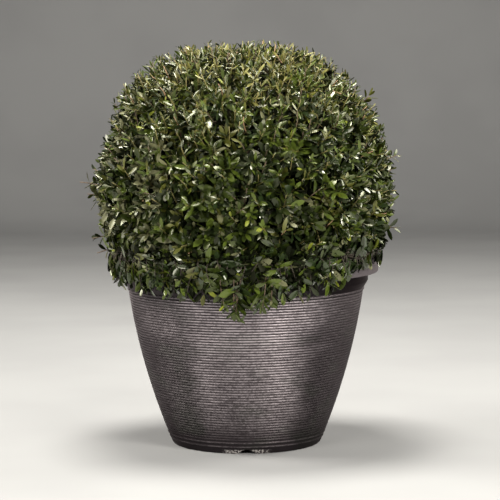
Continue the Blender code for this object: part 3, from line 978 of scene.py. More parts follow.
@dataclass
class PottingMix:
    """The mix in the pot: the CAD solid in a better finish, under a layer of crumbs and bark chips."""

    level: float
    radius: float
    chips: int = 420
    shapes: int = 4
    chip_size: float = 0.0085
    proud: float = 0.0004
    spread: float = 0.97
    # Ranges of a chip's size, and of its width and thickness as shares of that
    sizes: tuple[float, float] = (0.45, 1.2)
    widths: tuple[float, float] = (0.35, 0.8)
    depths: tuple[float, float] = (0.18, 0.35)
    tilt: float = 0.35
    seed: int = 3

    def shape(self, number: int) -> bpy.types.Object:
        """Model one chip: a block whose top is drawn in and slid to one side.

        Args:
            number: Which of the shapes.

        Returns:
            The chip, one unit long.
        """
        deselect()
        bpy.ops.mesh.primitive_cube_add(size=1.0, location=(0.0, 0.0, 0.0))
        chip = started("chip_%d" % number)
        bpy.ops.object.mode_set(mode="EDIT")
        bpy.ops.mesh.select_mode(type="FACE")
        bpy.ops.mesh.select_all(action="DESELECT")
        bpy.ops.object.mode_set(mode="OBJECT")
        for face in chip.data.polygons:
            face.select = face.normal.z > 0.9
        bpy.ops.object.mode_set(mode="EDIT")
        bpy.ops.transform.resize(value=(0.86 - 0.06 * number, 0.66 + 0.07 * number, 1.0))
        bpy.ops.transform.translate(value=(0.05 * number - 0.08, 0.09 - 0.05 * number, 0.0))
        bpy.ops.object.mode_set(mode="OBJECT")
        return chip

    def layer(self) -> bpy.types.Object:
        """Copy the chips over the mix, each lying half sunk in it, and join them.

        Returns:
            The joined layer.
        """
        rng = random.Random(self.seed)
        shapes = [self.shape(number) for number in range(self.shapes)]
        laid = []
        for number in range(self.chips):
            chip = shapes[number % self.shapes].copy()
            chip.data = chip.data.copy()
            bpy.context.scene.collection.objects.link(chip)
            reach = self.radius * self.spread * math.sqrt((number + 0.5) / self.chips)
            angle = number * GOLDEN_ANGLE
            middle = Vector((reach * math.cos(angle), reach * math.sin(angle), self.level + self.proud))
            size = self.chip_size * rng.uniform(*self.sizes)
            scale = Vector((size, size * rng.uniform(*self.widths), size * rng.uniform(*self.depths)))
            turn = Euler((rng.uniform(-self.tilt, self.tilt), 0.0, rng.uniform(0.0, FULL_TURN)))
            chip.matrix_world = Matrix.LocRotScale(middle, turn, scale)
            laid.append(chip)
        for shape in shapes:
            bpy.data.objects.remove(shape, do_unlink=True)
        join_all(laid)
        bpy.ops.object.transform_apply(location=True, rotation=True, scale=True)
        return started("bark_chips")

    def build(self, solid: bpy.types.Object) -> bpy.types.Object:
        """Dress the CAD solid and lay the chips on it.

        Args:
            solid: The CAD node of the potting mix.

        Returns:
            The layer of chips.
        """
        coat(solid, [MixFinish().make("moist_peat")])
        chips = self.layer()
        coat(chips, [MixFinish((0.030, 0.019, 0.012), (0.150, 0.095, 0.060)).make("bark_chip")])
        hand_over(chips)
        return chips


# Crown


@dataclass(frozen=True)
class Crown:
    """The clipped ball: its outline, the skirt that hangs over the rim, and its seven masses."""

    centre: Vector
    radius: float
    rise: float
    drop: float
    pot_height: float
    rim_radius: float
    top_edge: float = math.radians(42.0)
    lowest_root: float = math.radians(-33.0)
    sides: int = len(SIDE_NAMES)
    front: float = math.radians(-90.0)
    rim_clearance: float = 0.0025
    side_reach: float = 0.0050
    front_reach: float = 0.0210
    skirt_slack: float = 0.004
    bumps: float = 0.015
    pocket_edge: float = 0.34
    # How far the ball leans out at its right shoulder, its lower front and back, and its left crown
    shoulder: float = 0.016
    lower_front: float = 0.050
    left_crown: float = 0.028
    # Depth of the clipped surface by latitude in degrees
    shape: tuple[tuple[float, float], ...] = (
        (-50.0, 0.925), (-27.0, 0.934), (-18.0, 0.960), (-2.0, 0.970), (10.0, 0.958), (22.0, 0.955),
        (34.0, 0.985), (46.0, 1.015), (58.0, 1.025), (72.0, 1.000), (90.0, 0.990),
    )
    # Lowest leaf outside the rim, by direction in degrees counted from +X
    skirt: tuple[tuple[float, float], ...] = (
        (-180.0, 0.2310), (-168.0, 0.2270), (-158.0, 0.2210), (-130.0, 0.2125), (-107.0, 0.2070),
        (-99.0, 0.2000), (-96.0, 0.1860), (-90.0, 0.1860), (-87.0, 0.1980), (-81.0, 0.1960),
        (-76.0, 0.2040), (-69.0, 0.2080), (-50.0, 0.2150), (-42.0, 0.2390), (-20.0, 0.2450),
        (-5.0, 0.2490), (12.0, 0.2240), (60.0, 0.2100), (110.0, 0.2180), (150.0, 0.2050),
        (168.0, 0.2200), (180.0, 0.2310),
    )

    def point(self, longitude: float, latitude: float, depth: float) -> Vector:
        """Find a point of the crown.

        Args:
            longitude: The direction in plan.
            latitude: The angle above the crown's middle.
            depth: 0 at the centre and 1 on the plain outline.

        Returns:
            The point.
        """
        height = self.rise if latitude > 0.0 else self.drop
        flat = self.radius * math.cos(latitude) * depth
        up = height * math.sin(latitude) * depth
        return self.centre + Vector((flat * math.cos(longitude), flat * math.sin(longitude), up))

    def place(self, point: Vector) -> Place:
        """Find the place of a point in the crown.

        Args:
            point: The point.

        Returns:
            Its longitude, latitude and depth.
        """
        offset = point - self.centre
        height = self.rise if offset.z > 0.0 else self.drop
        flat = math.hypot(offset.x, offset.y) / self.radius
        up = offset.z / height
        return math.atan2(offset.y, offset.x), math.atan2(up, flat), math.hypot(flat, up)

    def direction(self, longitude: float, latitude: float) -> Place:
        """Return a direction as a unit vector's three numbers."""
        flat = math.cos(latitude)
        return math.cos(longitude) * flat, math.sin(longitude) * flat, math.sin(latitude)

    def swell(self, latitude: float, middle: float, width: float) -> float:
        """Return a soft swelling by latitude: 1 at its middle, with middle and width in degrees."""
        return math.exp(-(((math.degrees(latitude) - middle) / width) ** 2))

    def outline(self, longitude: float, latitude: float) -> float:
        """Find the clipped surface: squarer at its shoulders, and never quite even.

        Args:
            longitude: The direction in plan.
            latitude: The angle above the crown's middle.

        Returns:
            The surface's depth there.
        """
        degrees, depths = zip(*self.shape)
        x, y, z = self.direction(longitude, latitude)
        uneven = math.sin(9.0 * x + 4.0 * z + 1.3) + math.sin(8.0 * y - 6.0 * z + 0.4)
        uneven += math.sin(11.0 * z + 7.0 * x - 5.0 * y)
        fuller = self.shoulder * x * self.swell(latitude, 24.0, 14.0)
        fuller += self.lower_front * math.sin(longitude) ** 2 * self.swell(latitude, -28.0, 11.0)
        fuller -= self.left_crown * x * self.swell(latitude, 54.0, 12.0)
        return float(np.interp(math.degrees(latitude), degrees, depths)) + fuller + self.bumps * uneven / 2.2

    def pocket(self, longitude: float, latitude: float) -> bool:
        """Tell the dark pockets between the outer sprays.

        Args:
            longitude: The direction in plan.
            latitude: The angle above the crown's middle.

        Returns:
            True inside a pocket.
        """
        x, y, z = self.direction(longitude, latitude)
        waves = math.sin(31.0 * x + 11.0 * y + 1.0) * math.sin(29.0 * y - 13.0 * z + 2.0)
        return waves * math.sin(34.0 * z + 9.0 * x + 0.5) > self.pocket_edge

    def side_angle(self, index: int) -> float:
        """Return the direction of a side mass and its bough."""
        return self.front + index * FULL_TURN / self.sides

    def mass_at(self, longitude: float, latitude: float) -> int:
        """Find the mass that a place belongs to.

        Args:
            longitude: The direction in plan.
            latitude: The angle above the crown's middle.

        Returns:
            A side from 0 to 5, or 6 for the top.
        """
        if latitude > self.top_edge:
            return self.sides
        return int(round((longitude - self.front) / (FULL_TURN / self.sides))) % self.sides

    def skirt_height(self, longitude: float) -> float:
        """Find the height of the skirt's lower edge.

        Args:
            longitude: The direction in plan.

        Returns:
            The height over the ground.
        """
        degrees, heights = zip(*self.skirt)
        turn = (math.degrees(longitude) + 180.0) % 360.0 - 180.0
        return float(np.interp(turn, degrees, heights))

    def reach_at(self, longitude: float) -> float:
        """Return how far the skirt stands out from the rim: close at both sides, full in front and behind."""
        return self.side_reach + (self.front_reach - self.side_reach) * math.sin(longitude) ** 2

    def clear_of_pot(self, point: Vector) -> bool:
        """Tell whether a leaf or twig may be at a point.

        Args:
            point: The point.

        Returns:
            True where it is above the rim, or outside it and above the skirt's edge.
        """
        if point.z > self.pot_height + self.rim_clearance:
            return True
        longitude = math.atan2(point.y, point.x)
        proud = math.hypot(point.x, point.y) - self.rim_radius
        if not self.rim_clearance < proud < self.reach_at(longitude):
            return False
        return point.z > self.skirt_height(longitude) - self.skirt_slack


@dataclass(frozen=True)
class Limb:
    """A trunk or bough as a path with a radius at each point."""

    name: str
    path: tuple[Vector, ...]
    radii: tuple[float, ...]

    @property
    def tip(self) -> Vector:
        """The limb's outer end."""
        return self.path[-1]

    @property
    def heading(self) -> Vector:
        """The direction that the limb ends in."""
        return (self.path[-1] - self.path[-2]).normalized()


@dataclass
class Limbs:
    """Trunk and six boughs, worked out as in the part, with bark standing in relief."""

    crown: Crown
    mix_level: float
    trunk_tip: float
    gap: float = 0.0003
    foot_radius: float = 0.0175
    trunk_radius: float = 0.0110
    trunk_tip_radius: float = 0.0055
    trunk_steps: int = 26
    # Above 1 the trunk's points lie closer together at its flare
    trunk_spacing: float = 1.15
    flare: float = 0.022
    lean: float = 0.006
    bough_radius: float = 0.0062
    bough_tip_radius: float = 0.0040
    bough_steps: int = 14
    lowest: float = 0.262
    step: float = 0.0135
    turn_order: tuple[int, ...] = (0, 3, 1, 4, 2, 5)
    reach: float = 0.52
    arch: float = 0.18
    heart: float = math.radians(4.0)
    bark_inset: float = 0.95
    bark_weld: float = 0.00001
    bark_relief: float = 0.0012
    bark_level: float = 0.2
    grain_size: float = 0.006

    def trunk_point(self, height: float) -> Vector:
        """Find the middle of the trunk.

        Args:
            height: The height over the ground.

        Returns:
            The point on its swaying axis.
        """
        straight = self.mix_level + self.gap + self.flare
        share = max(0.0, (height - straight) / (self.trunk_tip - straight))
        sway = self.lean * math.sin(math.pi * share)
        return Vector((sway, -sway / 2.0, height))

    def trunk(self) -> Limb:
        """Lay out the trunk from its foot in the mix to its tip.

        Returns:
            The trunk.
        """
        foot = self.mix_level + self.gap
        steps = self.trunk_steps
        shares = [(i / steps) ** self.trunk_spacing for i in range(steps + 1)]
        heights = [foot + (self.trunk_tip - foot) * share for share in shares]
        radii = []
        for height in heights:
            share = (height - self.mix_level) / (self.trunk_tip - self.mix_level)
            fade = max(0.0, 1.0 - (height - self.mix_level) / self.flare)
            taper = self.trunk_radius + (self.trunk_tip_radius - self.trunk_radius) * share
            radii.append(taper + (self.foot_radius - self.trunk_radius) * fade * fade)
        return Limb("trunk", tuple(self.trunk_point(height) for height in heights), tuple(radii))

    def bough(self, index: int) -> Limb:
        """Lay out one bough from inside the trunk out to its mass.

        Args:
            index: The number of the side that it grows to.

        Returns:
            The bough.
        """
        start = self.trunk_point(self.lowest + self.step * self.turn_order[index])
        end = self.crown.point(self.crown.side_angle(index), self.heart, self.reach)
        elbow = start.lerp(end, 0.5)
        elbow.z += self.arch * (end - start).length
        shares = [i / self.bough_steps for i in range(self.bough_steps + 1)]
        path = tuple(start.lerp(elbow, s).lerp(elbow.lerp(end, s), s) for s in shares)
        radii = tuple(self.bough_radius + (self.bough_tip_radius - self.bough_radius) * s for s in shares)
        return Limb("bough_" + SIDE_NAMES[index], path, radii)

    def swept(self, limb: Limb) -> bpy.types.Object:
        """Sweep a limb along its path.

        Args:
            limb: The path and its radii.

        Returns:
            The closed tube, a little thinner than the limb to leave room for its relief.
        """
        deselect()
        bpy.ops.curve.primitive_bezier_curve_add(location=(0.0, 0.0, 0.0))
        curve = started(limb.name + "_bark").data
        curve.splines.clear()
        curve.dimensions = "3D"
        curve.bevel_depth = 1.0
        curve.bevel_resolution = 4
        curve.use_fill_caps = True
        spline = curve.splines.new("POLY")
        spline.points.add(len(limb.path) - 1)
        for place, point, radius in zip(spline.points, limb.path, limb.radii):
            place.co = (*point, 1.0)
            place.radius = radius * self.bark_inset
        bpy.ops.object.convert(target="MESH")
        bpy.ops.object.mode_set(mode="EDIT")
        bpy.ops.mesh.select_all(action="SELECT")
        bpy.ops.mesh.remove_doubles(threshold=self.bark_weld)
        bpy.ops.mesh.normals_make_consistent(inside=False)
        bpy.ops.object.mode_set(mode="OBJECT")
        return bpy.context.active_object

    def bark(self, limb: Limb, material: bpy.types.Material) -> bpy.types.Object:
        """Sweep a limb and raise its bark.

        Args:
            limb: The path and its radii.
            material: The bark's finish.

        Returns:
            The finished piece.
        """
        piece = self.swept(limb)
        finer = piece.modifiers.new("finer", "SUBSURF")
        finer.subdivision_type = "SIMPLE"
        finer.levels = finer.render_levels = 2
        grain = bpy.data.textures.new(limb.name + "_grain", "MUSGRAVE")
        grain.noise_scale = self.grain_size
        raised = piece.modifiers.new("raised", "DISPLACE")
        raised.texture = grain
        raised.strength = self.bark_relief
        raised.mid_level = self.bark_level
        apply_all(piece)
        bpy.ops.object.shade_smooth()
        coat(piece, [material])
        hand_over(piece, [limb.name])
        return piece

    def build(self) -> list[Limb]:
        """Build every limb.

        Returns:
            Their paths, for the twigs to grow on from: the boughs by their masses, then the trunk.
        """
        material = BarkFinish().make("holly_bark")
        limbs = [self.bough(index) for index in range(self.crown.sides)] + [self.trunk()]
        for limb in limbs:
            self.bark(limb, material)
        return limbs


# Twigs and leaves


@dataclass(frozen=True)
class Twig:
    """One twig as a quadratic curve that thins towards its end."""

    start: Vector
    bend: Vector
    end: Vector
    thick: float
    thin: float

    def at(self, share: float) -> Vector:
        """Return the point at a share of its length."""
        return self.start.lerp(self.bend, share).lerp(self.bend.lerp(self.end, share), share)

    def heading(self, share: float) -> Vector:
        """Return the direction at a share of its length."""
        return ((self.bend - self.start).lerp(self.end - self.bend, share)).normalized()


@dataclass(frozen=True)
class Leaf:
    """Where one leaf grows, which way it points and faces, and how it bends."""

    root: Vector
    along: Vector
    facing: Vector
    length: float
    width: float
    droop: float
    fold: float


@dataclass(frozen=True)
class Order:
    """One order of twigs: how many over the whole ball, how deep they end and how thick."""

    count: int
    depth: float
    spread: float
    jitter: float
    thick: float
    thin: float
    tone: TwigTone


@dataclass(frozen=True)
class Spray:
    """How one twig is set with leaves.

    The leaves start at the share `first` of the twig, and their tips may stand `limit` past the
    clipped outline.
    """

    count: int
    first: float
    size: float
    limit: float
    hanging: bool = False


@dataclass(frozen=True)
class LeafHabit:
    """How leaves grow on their twigs, as ranges and shares. Angles are in degrees."""

    length: tuple[float, float] = (0.0145, 0.0255)
    ratio: tuple[float, float] = (0.28, 0.41)
    droop: tuple[float, float] = (-0.03, 0.22)
    fold: tuple[float, float] = (-0.22, 0.42)
    spray_size: tuple[float, float] = (0.78, 1.2)
    low_size: float = 1.06
    top_smaller: float = 0.17
    top_slimmer: float = 0.40
    tip_smaller: float = 0.34
    angle: float = 72.0
    hanging_angle: float = 86.0
    closing: float = 46.0
    jitter: float = 12.0
    steady: float = 0.6
    twist: float = 0.5
    wild_twist: float = 1.3
    cut_length: float = 0.72
    cut_width: float = 0.8


@dataclass(frozen=True)
class ShootHabit:
    """How the leggy young shoots grow between the sprays."""

    count: int = 900
    lowest: float = -0.55
    fewest: float = 0.30
    root_depth: tuple[float, float] = (0.84, 0.89)
    outward: tuple[float, float] = (0.6, 1.0)
    upward: tuple[float, float] = (0.3, 0.9)
    sideways: tuple[float, float] = (0.1, 0.7)
    length: tuple[float, float] = (0.022, 0.042)
    past: float = 0.024
    tries: int = 6
    shorter: float = 0.88
    sway: float = 0.22
    leaves: tuple[int, int] = (5, 8)
    ages: tuple[TwigTone, ...] = (TwigTone.YOUNG, TwigTone.PINK, TwigTone.BROWN)
    age_shares: tuple[float, ...] = (0.66, 0.09, 0.25)
    tones: tuple[LeafTone, ...] = (LeafTone.OLIVE, LeafTone.FRESH, LeafTone.GREEN, LeafTone.DEEP)


@dataclass(frozen=True)
class SkirtHabit:
    """How shoots arch over the rim and hang against its outside."""

    count: int = 620
    # A step that spreads the heights evenly, whatever the direction
    height_step: float = 0.7548777
    jitter: float = 0.04
    lowest: float = 0.006
    highest: float = 0.022
    root_depth: tuple[float, float] = (0.80, 0.88)
    crossing: tuple[float, float] = (0.006, 0.020)
    backing_reach: tuple[float, float] = (0.18, 0.35)
    outer_reach: tuple[float, float] = (0.40, 0.78)
    side_edge: float = 0.70
    over_rim: float = 0.0035
    past_rim: float = 0.003
    lift: float = 0.004
    sway: float = 0.010
    fresh: float = 0.28
    glossy: float = 0.58
    # Direction in degrees and height of each tassel that hangs below the skirt in front
    tassels: tuple[tuple[float, float], ...] = (
        (-93.0, 0.1905), (-94.5, 0.1970), (-91.5, 0.1985), (-82.0, 0.2020), (-80.0, 0.2060), (-100.0, 0.2060),
    )
    tassel_root: float = 0.86
    tassel_crossing: float = 0.014
    tassel_reach: float = 0.015


@dataclass(frozen=True)
class StrayShares:
    """The draws below which one leaf of a spray is of another tone."""

    tan: float = 0.0007
    lime: float = 0.012
    grey: float = 0.035
    green: float = 0.22
    dark: float = 0.34


def tangent(rng: random.Random, direction: Vector) -> Vector:
    """Draw a unit vector at right angles to a direction.

    Args:
        rng: The seeded source.
        direction: The direction.

    Returns:
        The vector.
    """
    turn = Vector((rng.gauss(0.0, 1.0), rng.gauss(0.0, 1.0), rng.gauss(0.0, 1.0)))
    return (turn - direction * turn.dot(direction)).normalized()


@dataclass
class Foliage:
    """All twigs and leaves of the crown, mass by mass."""

    crown: Crown
    limbs: list[Limb]
    seed: int = 41
    orders: tuple[Order, ...] = (
        Order(60, 0.62, 0.03, 0.05, 0.0030, 0.0022, TwigTone.OLD),
        Order(250, 0.77, 0.03, 0.05, 0.0021, 0.0014, TwigTone.OLD),
        Order(900, 0.86, 0.02, 0.04, 0.0013, 0.0009, TwigTone.BROWN),
        Order(2750, 0.915, 0.048, 0.040, 0.0008, 0.0005, TwigTone.YOUNG),
    )
    habit: LeafHabit = LeafHabit()
    shoot: ShootHabit = ShootHabit()
    hanging: SkirtHabit = SkirtHabit()
    strays: StrayShares = StrayShares()
    stem_gap: float = 0.0003
    stem_length: float = 0.012
    stem_thin: float = 0.0032
    # Orders that end at a smaller depth bear no leaves, and stay above the lowest root
    leafy_depth: float = 0.8
    highest: float = 1.56
    narrowest: float = 0.3
    spray_leaves: tuple[int, int] = (8, 10)
    inner_leaves: int = 5
    held_back: float = -0.012
    stray: float = 0.018
    pocket_depth: float = 0.085
    pink_share: float = 0.02
    # Longitude and latitude in degrees, and depth, of each loose sprig
    sprigs: tuple[Place, ...] = (
        (178.0, 2.0, 1.045), (171.0, -3.0, 1.02), (188.0, -19.0, 1.02), (184.0, -25.0, 1.03),
        (-4.0, -16.0, 1.01), (4.0, 12.0, 1.00), (62.0, -8.0, 1.03), (118.0, 15.0, 1.02),
        (92.0, -20.0, 1.02), (-3.0, 38.0, 1.01),
    )
    twigs: dict[TwigTone, list[Twig]] = field(default_factory=lambda: {tone: [] for tone in TwigTone})
    leaves: dict[LeafTone, list[Leaf]] = field(default_factory=lambda: {tone: [] for tone in LeafTone})

    def places(self, count: int, lowest: float = -0.78) -> Iterator[tuple[float, float]]:
        """Even places over the ball from its top down, on a golden-angle spiral.

        Args:
            count: How many places.
            lowest: Sine of the lowest latitude.

        Yields:
            Longitude and latitude of each place.
        """
        for number in range(count):
            up = 1.0 + (lowest - 1.0) * (number + 0.5) / count
            yield (number * GOLDEN_ANGLE) % FULL_TURN, math.asin(up)

    def nearest(self, point: Vector, twigs: Sequence[Twig]) -> Twig:
        """Return the twig whose end is nearest to a point."""
        return min(twigs, key=lambda twig: (twig.end - point).length_squared)

    def grow_order(
        self, order: Order, roots: dict[int, list[Twig]], rng: random.Random
    ) -> dict[int, list[Twig]]:
        """Grow one order of twigs on the ends of the last.

        Args:
            order: The order to grow.
            roots: The last order's twigs by mass.
            rng: The seeded source of jitter.

        Returns:
            The new twigs by mass.
        """
        grown: dict[int, list[Twig]] = {mass: [] for mass in roots}
        for longitude, latitude in self.places(order.count):
            longitude += rng.uniform(-1.0, 1.0) * order.jitter / max(self.narrowest, math.cos(latitude))
            latitude = min(self.highest, latitude + rng.uniform(-1.0, 1.0) * order.jitter)
            depth = order.depth + rng.uniform(-1.0, 1.0) * order.spread
            if order.depth < self.leafy_depth:
                latitude = max(latitude, self.crown.lowest_root)
            mass = self.crown.mass_at(longitude, latitude)
            if order is self.orders[-1] and self.crown.pocket(longitude, latitude):
                depth -= self.pocket_depth
            end = self.crown.point(longitude, latitude, depth * self.crown.outline(longitude, latitude))
            if not self.crown.clear_of_pot(end) or not roots[mass]:
                continue
            root = self.nearest(end, roots[mass])
            outward = (end - self.crown.centre).normalized()
            reach = (end - root.end).length
            bend = root.end + (root.heading(1.0) * 0.55 + outward * 0.2 + Vector((0, 0, 0.12))) * reach * 0.5
            twig = Twig(root.end, bend.lerp((root.end + end) / 2.0, 0.35), end, order.thick, order.thin)
            if not self.crown.clear_of_pot(twig.at(0.5)):
                continue
            grown[mass].append(twig)
            self.twigs[order.tone].append(twig)
        return grown

    def stems(self) -> dict[int, list[Twig]]:
        """Start each mass with one twig that goes straight on from its limb's tip.

        Returns:
            The first twig of each mass.
        """
        grown = {}
        for mass, limb in enumerate(self.limbs):
            start = limb.tip + limb.heading * self.stem_gap
            end = start + limb.heading * self.stem_length
            twig = Twig(start, start.lerp(end, 0.5), end, limb.radii[-1], self.stem_thin)
            self.twigs[TwigTone.OLD].append(twig)
            grown[mass] = [twig]
        return grown

    def tone_at(self, rng: random.Random, point: Vector) -> LeafTone:
        """Choose the tone of a spray by its place on the ball.

        Args:
            rng: The seeded source.
            point: Where the spray ends.

        Returns:
            The tone that most of its leaves take.
        """
        longitude, latitude, _ = self.crown.place(point)
        # Sprays on the top take more khaki and olive: young growth, and partly painted sunlight.
        top = min(1.0, max(0.0, (math.sin(latitude) - 0.25) / 0.55))
        # Sprays at the left edge take more grey: grey-green leaves, and partly painted light from behind.
        left = max(0.0, -math.cos(longitude) - 0.38) * 1.6 * (1.0 - top)
        weights = {
            LeafTone.SHADE: 0.05 + 0.04 * top,
            LeafTone.DEEP: 0.40 - 0.26 * top,
            LeafTone.GREEN: 0.30 - 0.12 * top,
            LeafTone.BLUE: 0.15 - 0.07 * top,
            LeafTone.FRESH: 0.100 + 0.02 * top,
            LeafTone.OLIVE: 0.060 + 0.24 * top,
            LeafTone.KHAKI: 0.20 * top,
            LeafTone.GREY: 0.030 + 0.03 * top + 1.80 * left,
        }
        return rng.choices(list(weights), list(weights.values()))[0]

    def skirt_tone(self, rng: random.Random, tone: LeafTone) -> LeafTone:
        """Turn more of the hanging sprays into fresh growth, or into the glossiest leaves.

        Args:
            rng: The seeded source.
            tone: The spray's tone by its place.

        Returns:
            The tone that it takes.
        """
        draw = rng.random()
        if draw < self.hanging.fresh:
            return rng.choice((LeafTone.FRESH, LeafTone.OLIVE))
        return LeafTone.BLUE if draw < self.hanging.glossy else tone

    def stray_tone(self, rng: random.Random, tone: LeafTone) -> LeafTone:
        """Now and then, give one leaf of a spray another tone.

        Args:
            rng: The seeded source.
            tone: The spray's tone.

        Returns:
            The leaf's tone.
        """
        draw = rng.random()
        if tone is LeafTone.SHADE:
            return tone
        if draw < self.strays.tan:
            return LeafTone.TAN
        if draw < self.strays.lime:
            return LeafTone.LIME
        if draw < self.strays.grey:
            return LeafTone.GREY
        if draw < self.strays.dark and tone in (LeafTone.GREY, LeafTone.KHAKI, LeafTone.OLIVE):
            return rng.choice((LeafTone.DEEP, LeafTone.GREEN))
        if draw < self.strays.green:
            return LeafTone.GREEN if tone != LeafTone.GREEN else LeafTone.FRESH
        return tone

    def height_share(self, point: Vector) -> float:
        """Return how high a point is on the ball, from 0 at its middle to 1 on its clipped top."""
        latitude = self.crown.place(point)[1]
        return min(1.0, max(0.0, (math.sin(latitude) + 0.05) / 0.85))

    def size_at(self, point: Vector) -> float:
        """Return the factor on length: leaves are small on the clipped top, full grown lower down."""
        return self.habit.low_size - self.habit.top_smaller * self.height_share(point)

    def slim_at(self, point: Vector) -> float:
        """Return the factor on width: leaves are narrow on the clipped top, broad lower down."""
        return self.habit.low_size - self.habit.top_slimmer * self.height_share(point)

    def fits(self, root: Vector, along: Vector, length: float, limit: float) -> bool:
        """Tell whether a leaf stays inside the clipped outline and off the pot.

        Args:
            root: Where the leaf leaves its twig.
            along: Which way it points.
            length: Its length.
            limit: How far past the outline its tip may stand.

        Returns:
            True where it fits.
        """
        tip = root + along * length
        longitude, latitude, depth = self.crown.place(tip)
        if tip.z > self.crown.pot_height and depth > self.crown.outline(longitude, latitude) + limit:
            return False
        return self.crown.clear_of_pot(tip) and self.crown.clear_of_pot(root.lerp(tip, 0.5))

    def add_leaf(
        self, rng: random.Random, tone: LeafTone, root: Vector, along: Vector, facing: Vector, length: float,
        limit: float,
    ) -> None:
        """Add one leaf, made smaller where it would pass the outline, or left out if it still does.

        Args:
            rng: The seeded source.
            tone: The spray's tone.
            root: Where the leaf leaves its twig.
            along: Which way it points.
            facing: Which way its upper side faces.
            length: Its length.
            limit: How far past the clipped outline its tip may stand.
        """
        droop = rng.uniform(*self.habit.droop)
        fold = rng.uniform(*self.habit.fold)
        width = length * rng.uniform(*self.habit.ratio) * self.slim_at(root)
        colour = self.stray_tone(rng, tone)
        if not self.fits(root, along, length, limit):
            length *= self.habit.cut_length
            width *= self.habit.cut_width
            if not self.fits(root, along, length, limit):
                return
        self.leaves[colour].append(Leaf(root, along, facing, length, width, droop, fold))

    def pressed(self, along: Vector, root: Vector) -> Vector:
        """Press a hanging leaf against the pot, closer at the sides than in front and behind.

        Args:
            along: Which way the leaf points.
            root: Where it leaves its twig.

        Returns:
            Its new direction.
        """
        out = Vector((root.x, root.y, 0.0)).normalized()
        share = 0.80 - 0.65 * out.y * out.y if along.dot(out) > 0.0 else 0.90
        return (along - out * (along.dot(out) * share)).normalized()

    def dress(self, rng: random.Random, twig: Twig, tone: LeafTone, spray: Spray) -> None:
        """Set leaves round a twig, each a golden angle on from the last, closing in towards its tip.

        Args:
            rng: The seeded source.
            twig: The twig that carries them.
            tone: The spray's tone.
            spray: How many there are, where they start, and how large they are.
        """
        habit = self.habit
        size = spray.size * (rng.uniform(*habit.spray_size) * self.size_at(twig.end))
        side = tangent(rng, twig.heading(1.0))
        phase = rng.uniform(0.0, FULL_TURN)
        opening = habit.hanging_angle if spray.hanging else habit.angle
        for number in range(spray.count):
            place = number / (spray.count - 1)
            share = spray.first + (1.0 - spray.first) * place
            axis = twig.heading(share)
            root = twig.at(share)
            around = Matrix.Rotation(phase + number * GOLDEN_ANGLE, 3, axis) @ (side - axis * side.dot(axis))
            around.normalize()
            spread = math.radians(opening - habit.closing * place + rng.uniform(-habit.jitter, habit.jitter))
            along = (axis * math.cos(spread) + around * math.sin(spread)).normalized()
            outward = (root - self.crown.centre).normalized()
            natural = axis * math.sin(spread) - around * math.cos(spread)
            if spray.hanging:
                along = self.pressed(along, root)
                facing = natural * 0.6 + outward * 0.5 + Vector((0.0, 0.0, 0.3))
            else:
                facing = natural * 0.75 + outward * 0.45 + Vector((0.0, 0.0, 0.3))
            twisted = tangent(rng, along)
            most = habit.twist if rng.random() < habit.steady else habit.wild_twist
            facing += twisted * rng.uniform(0.0, most)
            length = rng.uniform(*habit.length) * size * (1.0 - habit.tip_smaller * place * place)
            self.add_leaf(rng, tone, root, along, facing, length, spray.limit)

    def grow_crown(self) -> None:
        """Grow the clipped ball out from the limbs."""
        rng = random.Random(self.seed)
        twigs = self.stems()
        for order in self.orders:
            twigs = self.grow_order(order, twigs, rng)
            if order.depth < self.leafy_depth:
                continue
            for twig in (twig for group in twigs.values() for twig in group):
                if order is self.orders[-1]:
                    self.grow_spray(rng, twig)
                else:
                    self.dress(rng, twig, LeafTone.SHADE, Spray(self.inner_leaves, 0.5, 1.0, 0.0))

    def grow_spray(self, rng: random.Random, twig: Twig) -> None:
        """Dress one of the outermost twigs, and let a few of them grow on with a pink tip.

        Args:
            rng: The seeded source.
            twig: The twig.
        """
        tone = self.tone_at(rng, twig.end)
        if self.crown.pocket(*self.crown.place(twig.end)[:2]):
            tone = LeafTone.SHADE
        count = rng.randint(*self.spray_leaves)
        limit = rng.uniform(self.held_back, self.stray)
        self.dress(rng, twig, tone, Spray(count, 0.28, 1.0, limit))
        if rng.random() < self.pink_share:
            tip = twig.end + twig.heading(1.0) * 0.009
            self.twigs[TwigTone.PINK].append(Twig(twig.at(0.6), twig.end, tip, 0.0009, 0.0007))

    def grow_shoots(self) -> None:
        """Grow the leggy young shoots that stand between the sprays, most of them on the top."""
        rng = random.Random(self.seed + 2)
        crown, shoot = self.crown, self.shoot
        for longitude, latitude in self.places(shoot.count, shoot.lowest):
            share = min(1.0, max(0.0, math.sin(latitude) + 0.35))
            if rng.random() > shoot.fewest + (1.0 - shoot.fewest) * share:
                continue
            edge = crown.outline(longitude, latitude)
            root = crown.point(longitude, latitude, edge * rng.uniform(*shoot.root_depth))
            outward = (root - crown.centre).normalized()
            heading = outward * rng.uniform(*shoot.outward) + Vector((0, 0, rng.uniform(*shoot.upward)))
            heading = (heading + tangent(rng, outward) * rng.uniform(*shoot.sideways)).normalized()
            length = rng.uniform(*shoot.length)
            end = root + heading * length
            for _ in range(shoot.tries):
                at_longitude, at_latitude, depth = crown.place(end)
                if depth < crown.outline(at_longitude, at_latitude) + rng.uniform(0.0, shoot.past) * share:
                    break
                end = root.lerp(end, shoot.shorter)
            if not crown.clear_of_pot(end):
                continue
            bend = root.lerp(end, 0.5) + tangent(rng, heading) * length * rng.uniform(0.0, shoot.sway)
            twig = Twig(root, bend, end, 0.0008, 0.0005)
            self.twigs[rng.choices(shoot.ages, shoot.age_shares)[0]].append(twig)
            sunlit = rng.random() < 0.6 * math.sin(latitude) - 0.2
            tone = LeafTone.KHAKI if sunlit else rng.choice(shoot.tones)
            self.dress(rng, twig, tone, Spray(rng.randint(*shoot.leaves), 0.40, 0.75, 0.030))

